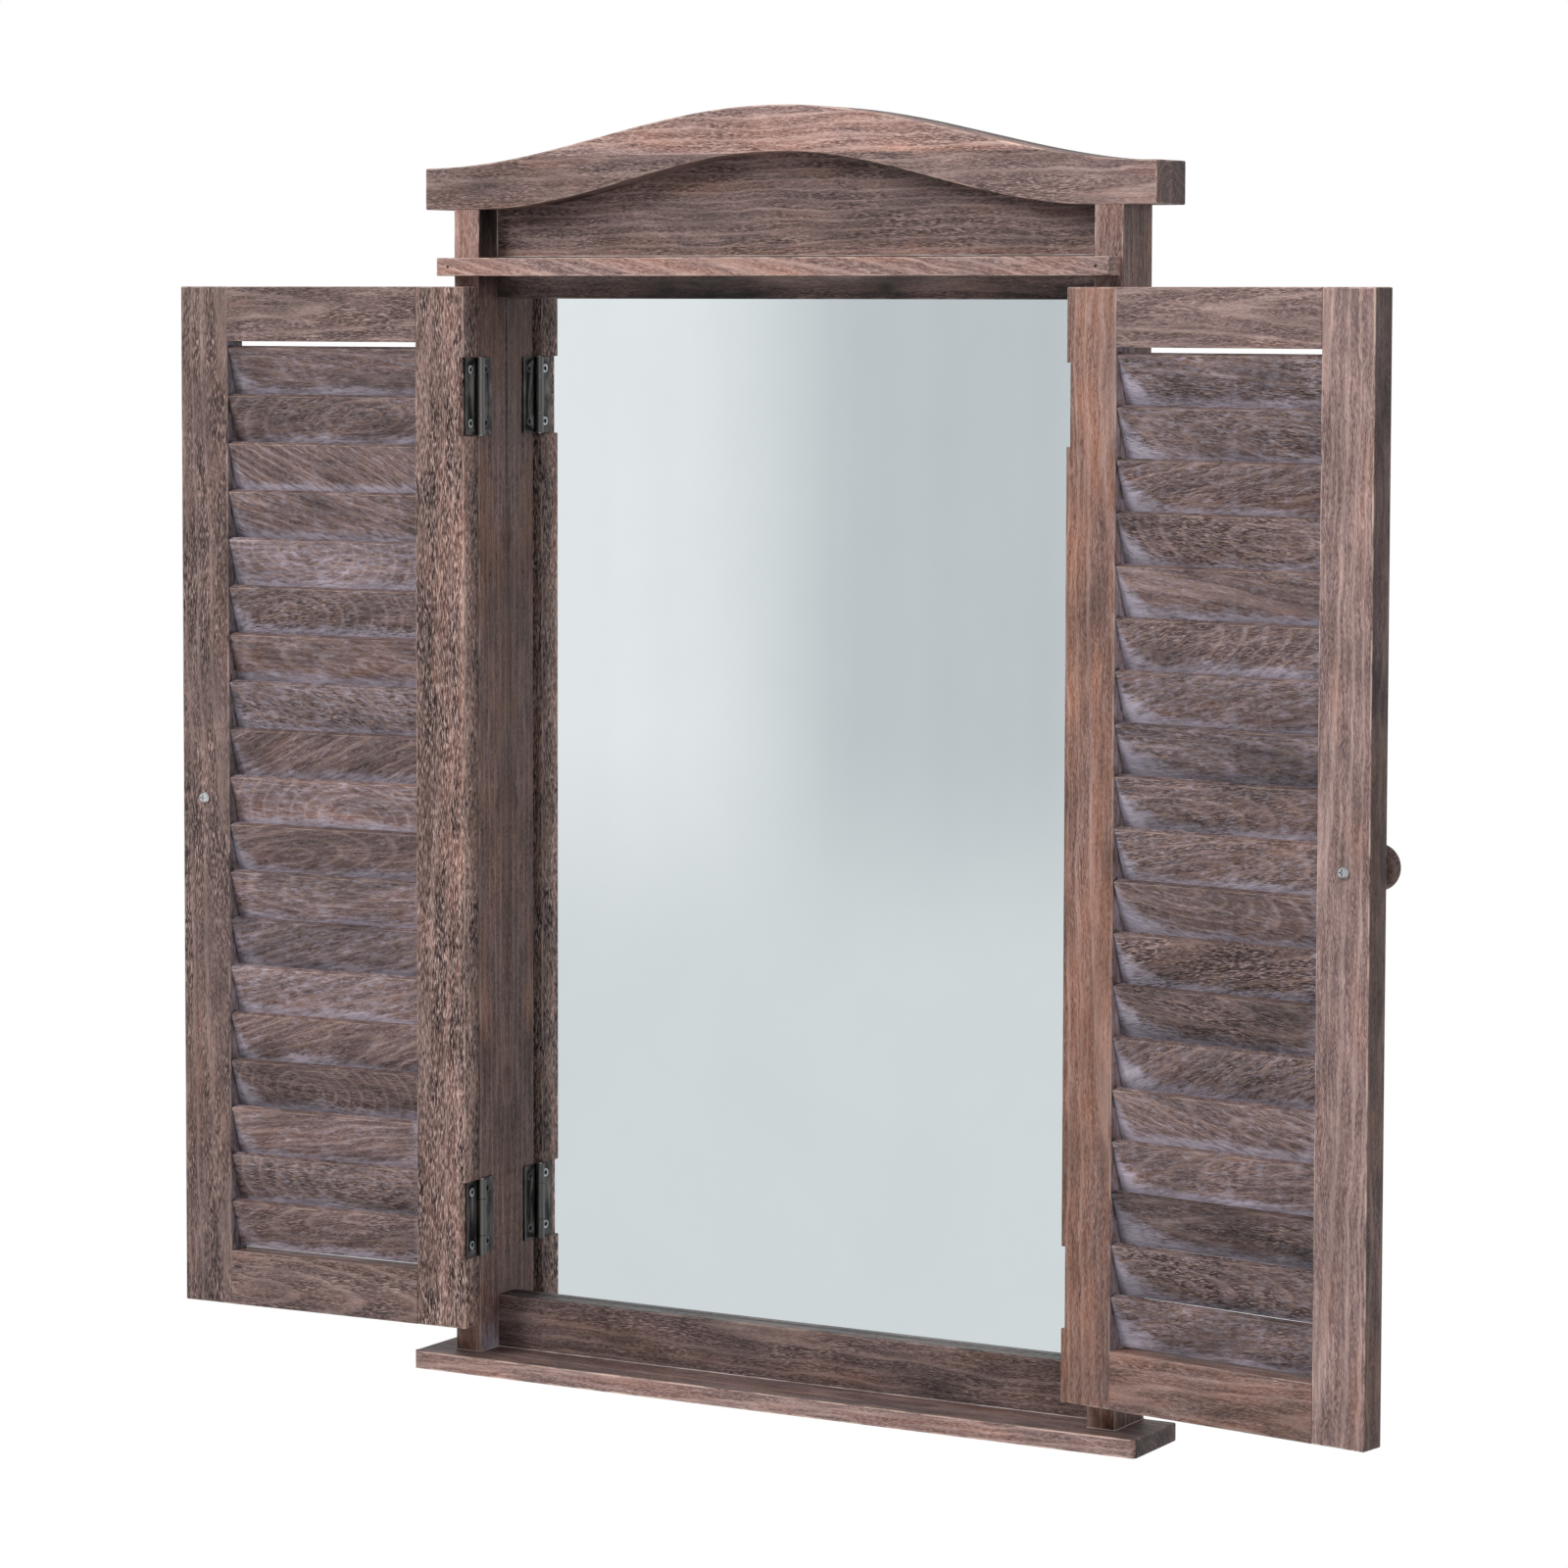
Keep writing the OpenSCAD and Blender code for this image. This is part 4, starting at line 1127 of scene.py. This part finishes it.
def screws_with_dirt_and_shade(node, body, material, turn=Matrix.Identity(4)):
    """Screws with stain and dirt in the recess of each head, darkened further by painted shade as
    the recess would cast. They stand square in a frame that the turn maps to the row frame."""
    bm = node_mesh(node)
    to_own = turn.inverted()
    places = {vert: to_own @ vert.co for vert in bm.verts}
    grime = bm.loops.layers.float.new("grime")
    for island in islands(bm):
        low, high = extent([places[vert] for vert in island])
        middle = (low + high) / 2
        axis = max(range(3), key=lambda at: high[at] - low[at])
        others = [at for at in range(3) if at != axis]
        head = max(high[at] - low[at] for at in others) / 2
        for vert in island:
            away = math.hypot(*(places[vert][at] - middle[at] for at in others))
            for loop in vert.link_loops:
                # dirt and painted shade, darkest in the middle of the head
                loop[grime] = 1 - ramp(away / head, 0.5, 0.92)
    screws = finish_piece(f"{node}_metal", bm, body, material, [node])
    round_edges(screws, 0.1 * MM)


def build_fasteners():
    dress_node("strip_brads", dark_metal())
    for node in ("glazing_pins", "crown_nails"):
        dress_node(node, zinc())
    for node in ("sill_screws", "hanger_screws"):
        screws_with_dirt_and_shade(node, "frame", zinc())
    for side in SIDES:
        dress_node(f"{side}_hanger", zinc(), 0.1 * MM)
        screws_with_dirt_and_shade(f"{side}_post_leaf_screws", "frame", dull_steel())
        screws_with_dirt_and_shade(f"{side}_shutter_leaf_screws", f"{side}_shutter", zinc(), shutter_place(side))
        dress_node(f"{side}_knob_screw", zinc(), 0.1 * MM)


# Stage

def aim_camera():
    settings = staging()
    yaw, pitch, roll = settings.yaw, settings.pitch, settings.roll
    ahead = Vector((-math.sin(yaw) * math.cos(pitch), math.cos(yaw) * math.cos(pitch), math.sin(pitch)))
    level = Vector((math.cos(yaw), math.sin(yaw), 0))
    upward = level.cross(ahead)
    right = level * math.cos(roll) + upward * math.sin(roll)
    up = upward * math.cos(roll) - level * math.sin(roll)
    lens = bpy.data.cameras.new("Camera")
    lens.lens = settings.lens
    lens.sensor_width = SENSOR
    lens.shift_y = -settings.shift
    camera = bpy.data.objects.new("Camera", lens)
    turn = Matrix((right, up, -ahead)).transposed().to_4x4()
    camera.matrix_world = Matrix.Translation(settings.camera) @ turn
    bpy.context.scene.collection.objects.link(camera)
    bpy.context.scene.camera = camera


def add_lamp(name, place, size, power):
    """A round soft lamp that points at the mirror."""
    lamp = bpy.data.lights.new(name, "AREA")
    lamp.shape = "DISK"
    lamp.size = size
    lamp.energy = power
    holder = bpy.data.objects.new(name, lamp)
    holder.location = place
    holder.rotation_euler = (-Vector(place)).to_track_quat("-Z", "Y").to_euler()
    bpy.context.scene.collection.objects.link(holder)


def studio_world():
    """An even world, plain white to the camera. The mirror sees soft upright bands in it, brighter
    on one side, over a pale horizon."""
    world = bpy.data.worlds.new("Studio")
    world.use_nodes = True
    w = Wiring(world.node_tree)
    x, y, z = w.split(w.node("ShaderNodeTexCoord").outputs["Generated"])
    turn = w.math("ARCTAN2", x, w.times(y, -1.0))
    bands = w.noise(w.join(w.times(turn, 60.0), w.times(z, 0.6), 0.0), 2.0, 0.55)
    side = w.less(w.step(turn, -0.545, -0.5, 1.0, 0.38), w.times(bands, 0.24))
    wall = w.mix(side, (0.48, 0.52, 0.55), (0.96, 0.98, 0.99))
    soft = w.mix(w.step(z, -0.135, -0.08), HORIZON, wall)
    rays = w.node("ShaderNodeLightPath").outputs
    direct = w.math("MAXIMUM", rays["Is Camera Ray"], rays["Is Glossy Ray"])
    direct = w.math("MAXIMUM", direct, rays["Is Transmission Ray"])
    background = world.node_tree.nodes["Background"]
    w.feed(background.inputs["Color"], w.mix(rays["Is Glossy Ray"], (1.0, 1.0, 1.0), soft))
    w.feed(background.inputs["Strength"], w.step(direct, 0.0, 1.0, 0.46, 1.0))
    return world


def light_up():
    """A pale studio: even light all round, a large soft key on the left and a weak fill."""
    bpy.context.scene.world = studio_world()
    add_lamp("Key", (-1.5, -2.9, 1.9), 1.5, 82.0)
    add_lamp("Fill", (2.4, -2.2, 0.4), 1.8, 7.0)


def pale_floor():
    """A pale floor, plain white where the camera sees it and pale grey where the mirror does."""
    material, w, shader = new_material("Pale floor")
    cloud = w.noise(w.place(), 2.0, 0.5, 0.8)
    feed_shader(w, shader, w.mix(cloud, (0.86, 0.86, 0.86), (0.9, 0.9, 0.9)), 0.8)
    distance = w.node("ShaderNodeVectorMath", {0: w.place()}, operation="LENGTH").outputs["Value"]
    sheen = w.mix(w.step(distance, 0.8, 3.6), (0.86, 0.88, 0.89), HORIZON)
    rays = w.node("ShaderNodeLightPath").outputs
    glow = w.mix(rays["Is Camera Ray"], sheen, (1.0, 1.0, 1.0))
    white = w.node("ShaderNodeEmission", {"Color": glow, "Strength": 1.0})
    direct = w.math("MAXIMUM", rays["Is Camera Ray"], rays["Is Glossy Ray"])
    seen = w.node("ShaderNodeMixShader", {0: direct, 1: shader.outputs[0], 2: white.outputs[0]})
    w.feed(material.node_tree.nodes["Material Output"].inputs["Surface"], seen.outputs[0])
    return material


def lay_floor():
    half = 6.0
    drop = -staging().floor_drop
    bm = bmesh.new()
    corners = [(-half, -half), (half, -half), (half, half), (-half, half)]
    bm.faces.new([bm.verts.new((x, y, drop)) for x, y in corners])
    mesh = bpy.data.meshes.new("Floor")
    bm.to_mesh(mesh)
    bm.free()
    mesh.materials.append(pale_floor())
    floor = bpy.data.objects.new("Floor", mesh)
    bpy.context.scene.collection.objects.link(floor)


# Operators, panel and registration

class SHUTTERMIRROR_OT_posts(bpy.types.Operator):
    """Builds the two posts of the frame."""

    bl_idname = "shutter_mirror.posts"
    bl_label = "Posts"

    def execute(self, context):
        build_posts()
        return {"FINISHED"}


class SHUTTERMIRROR_OT_sill(bpy.types.Operator):
    """Builds the sill."""

    bl_idname = "shutter_mirror.sill"
    bl_label = "Sill"

    def execute(self, context):
        build_sill()
        return {"FINISHED"}


class SHUTTERMIRROR_OT_rails(bpy.types.Operator):
    """Builds the rails of the frame and the panel under the arch."""

    bl_idname = "shutter_mirror.rails"
    bl_label = "Rails and panel"

    def execute(self, context):
        build_rails()
        return {"FINISHED"}


class SHUTTERMIRROR_OT_crown(bpy.types.Operator):
    """Builds the two boards of the crown."""

    bl_idname = "shutter_mirror.crown"
    bl_label = "Crown"

    def execute(self, context):
        build_crown()
        return {"FINISHED"}


class SHUTTERMIRROR_OT_strip(bpy.types.Operator):
    """Builds the strip across the posts."""

    bl_idname = "shutter_mirror.strip"
    bl_label = "Strip"

    def execute(self, context):
        build_strip()
        return {"FINISHED"}


class SHUTTERMIRROR_OT_glue(bpy.types.Operator):
    """Lays the thin beads of glue along the joints."""

    bl_idname = "shutter_mirror.glue"
    bl_label = "Glue beads"

    def execute(self, context):
        build_glue()
        return {"FINISHED"}


class SHUTTERMIRROR_OT_glass(bpy.types.Operator):
    """Finishes the mirror glass and its backing."""

    bl_idname = "shutter_mirror.glass"
    bl_label = "Glass"

    def execute(self, context):
        build_glass()
        return {"FINISHED"}


class SHUTTERMIRROR_OT_shutter_boards(bpy.types.Operator):
    """Builds the stiles and rails of both shutters."""

    bl_idname = "shutter_mirror.shutter_boards"
    bl_label = "Shutter boards"

    def execute(self, context):
        build_shutter_boards()
        return {"FINISHED"}


class SHUTTERMIRROR_OT_slats(bpy.types.Operator):
    """Builds the slats of both shutters."""

    bl_idname = "shutter_mirror.slats"
    bl_label = "Slats"

    def execute(self, context):
        for side in SIDES:
            build_slats_of(side)
        return {"FINISHED"}


class SHUTTERMIRROR_OT_knobs(bpy.types.Operator):
    """Finishes the two wooden knobs."""

    bl_idname = "shutter_mirror.knobs"
    bl_label = "Knobs"

    def execute(self, context):
        build_knobs()
        return {"FINISHED"}


class SHUTTERMIRROR_OT_hinges(bpy.types.Operator):
    """Finishes the leaves and pins of the hinges."""

    bl_idname = "shutter_mirror.hinges"
    bl_label = "Hinges"

    def execute(self, context):
        build_hinges()
        return {"FINISHED"}


class SHUTTERMIRROR_OT_fasteners(bpy.types.Operator):
    """Finishes screws, nails and hangers."""

    bl_idname = "shutter_mirror.fasteners"
    bl_label = "Fasteners"

    def execute(self, context):
        build_fasteners()
        return {"FINISHED"}


class SHUTTERMIRROR_OT_stage(bpy.types.Operator):
    """Sets the camera, the light and the floor."""

    bl_idname = "shutter_mirror.stage"
    bl_label = "Stage"

    def execute(self, context):
        aim_camera()
        light_up()
        lay_floor()
        return {"FINISHED"}


STEPS = (
    SHUTTERMIRROR_OT_posts,
    SHUTTERMIRROR_OT_sill,
    SHUTTERMIRROR_OT_rails,
    SHUTTERMIRROR_OT_crown,
    SHUTTERMIRROR_OT_strip,
    SHUTTERMIRROR_OT_glue,
    SHUTTERMIRROR_OT_glass,
    SHUTTERMIRROR_OT_shutter_boards,
    SHUTTERMIRROR_OT_slats,
    SHUTTERMIRROR_OT_knobs,
    SHUTTERMIRROR_OT_hinges,
    SHUTTERMIRROR_OT_fasteners,
    SHUTTERMIRROR_OT_stage,
)


class SHUTTERMIRROR_PT_steps(bpy.types.Panel):
    """Lists the steps that build the mirror."""

    bl_label = "Shutter Mirror"
    bl_space_type = "VIEW_3D"
    bl_region_type = "UI"
    bl_category = "Shutter Mirror"

    def draw(self, context):
        for step in STEPS:
            self.layout.operator(step.bl_idname)


SETTINGS = {
    "mirror_wood": MirrorWoodSettings,
    "mirror_shutters": MirrorShutterSettings,
    "mirror_stage": MirrorStageSettings,
}


def register():
    for name, settings in SETTINGS.items():
        bpy.utils.register_class(settings)
        setattr(bpy.types.Scene, name, bpy.props.PointerProperty(type=settings))
    for step in STEPS:
        bpy.utils.register_class(step)
    bpy.utils.register_class(SHUTTERMIRROR_PT_steps)


def unregister():
    bpy.utils.unregister_class(SHUTTERMIRROR_PT_steps)
    for step in reversed(STEPS):
        bpy.utils.unregister_class(step)
    for name, settings in SETTINGS.items():
        delattr(bpy.types.Scene, name)
        bpy.utils.unregister_class(settings)


def main():
    """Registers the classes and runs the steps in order."""
    register()
    bpy.context.scene.view_settings.view_transform = "Standard"
    for step in STEPS:
        family, name = step.bl_idname.split(".")
        getattr(getattr(bpy.ops, family), name)()


if __name__ == "__main__":
    main()
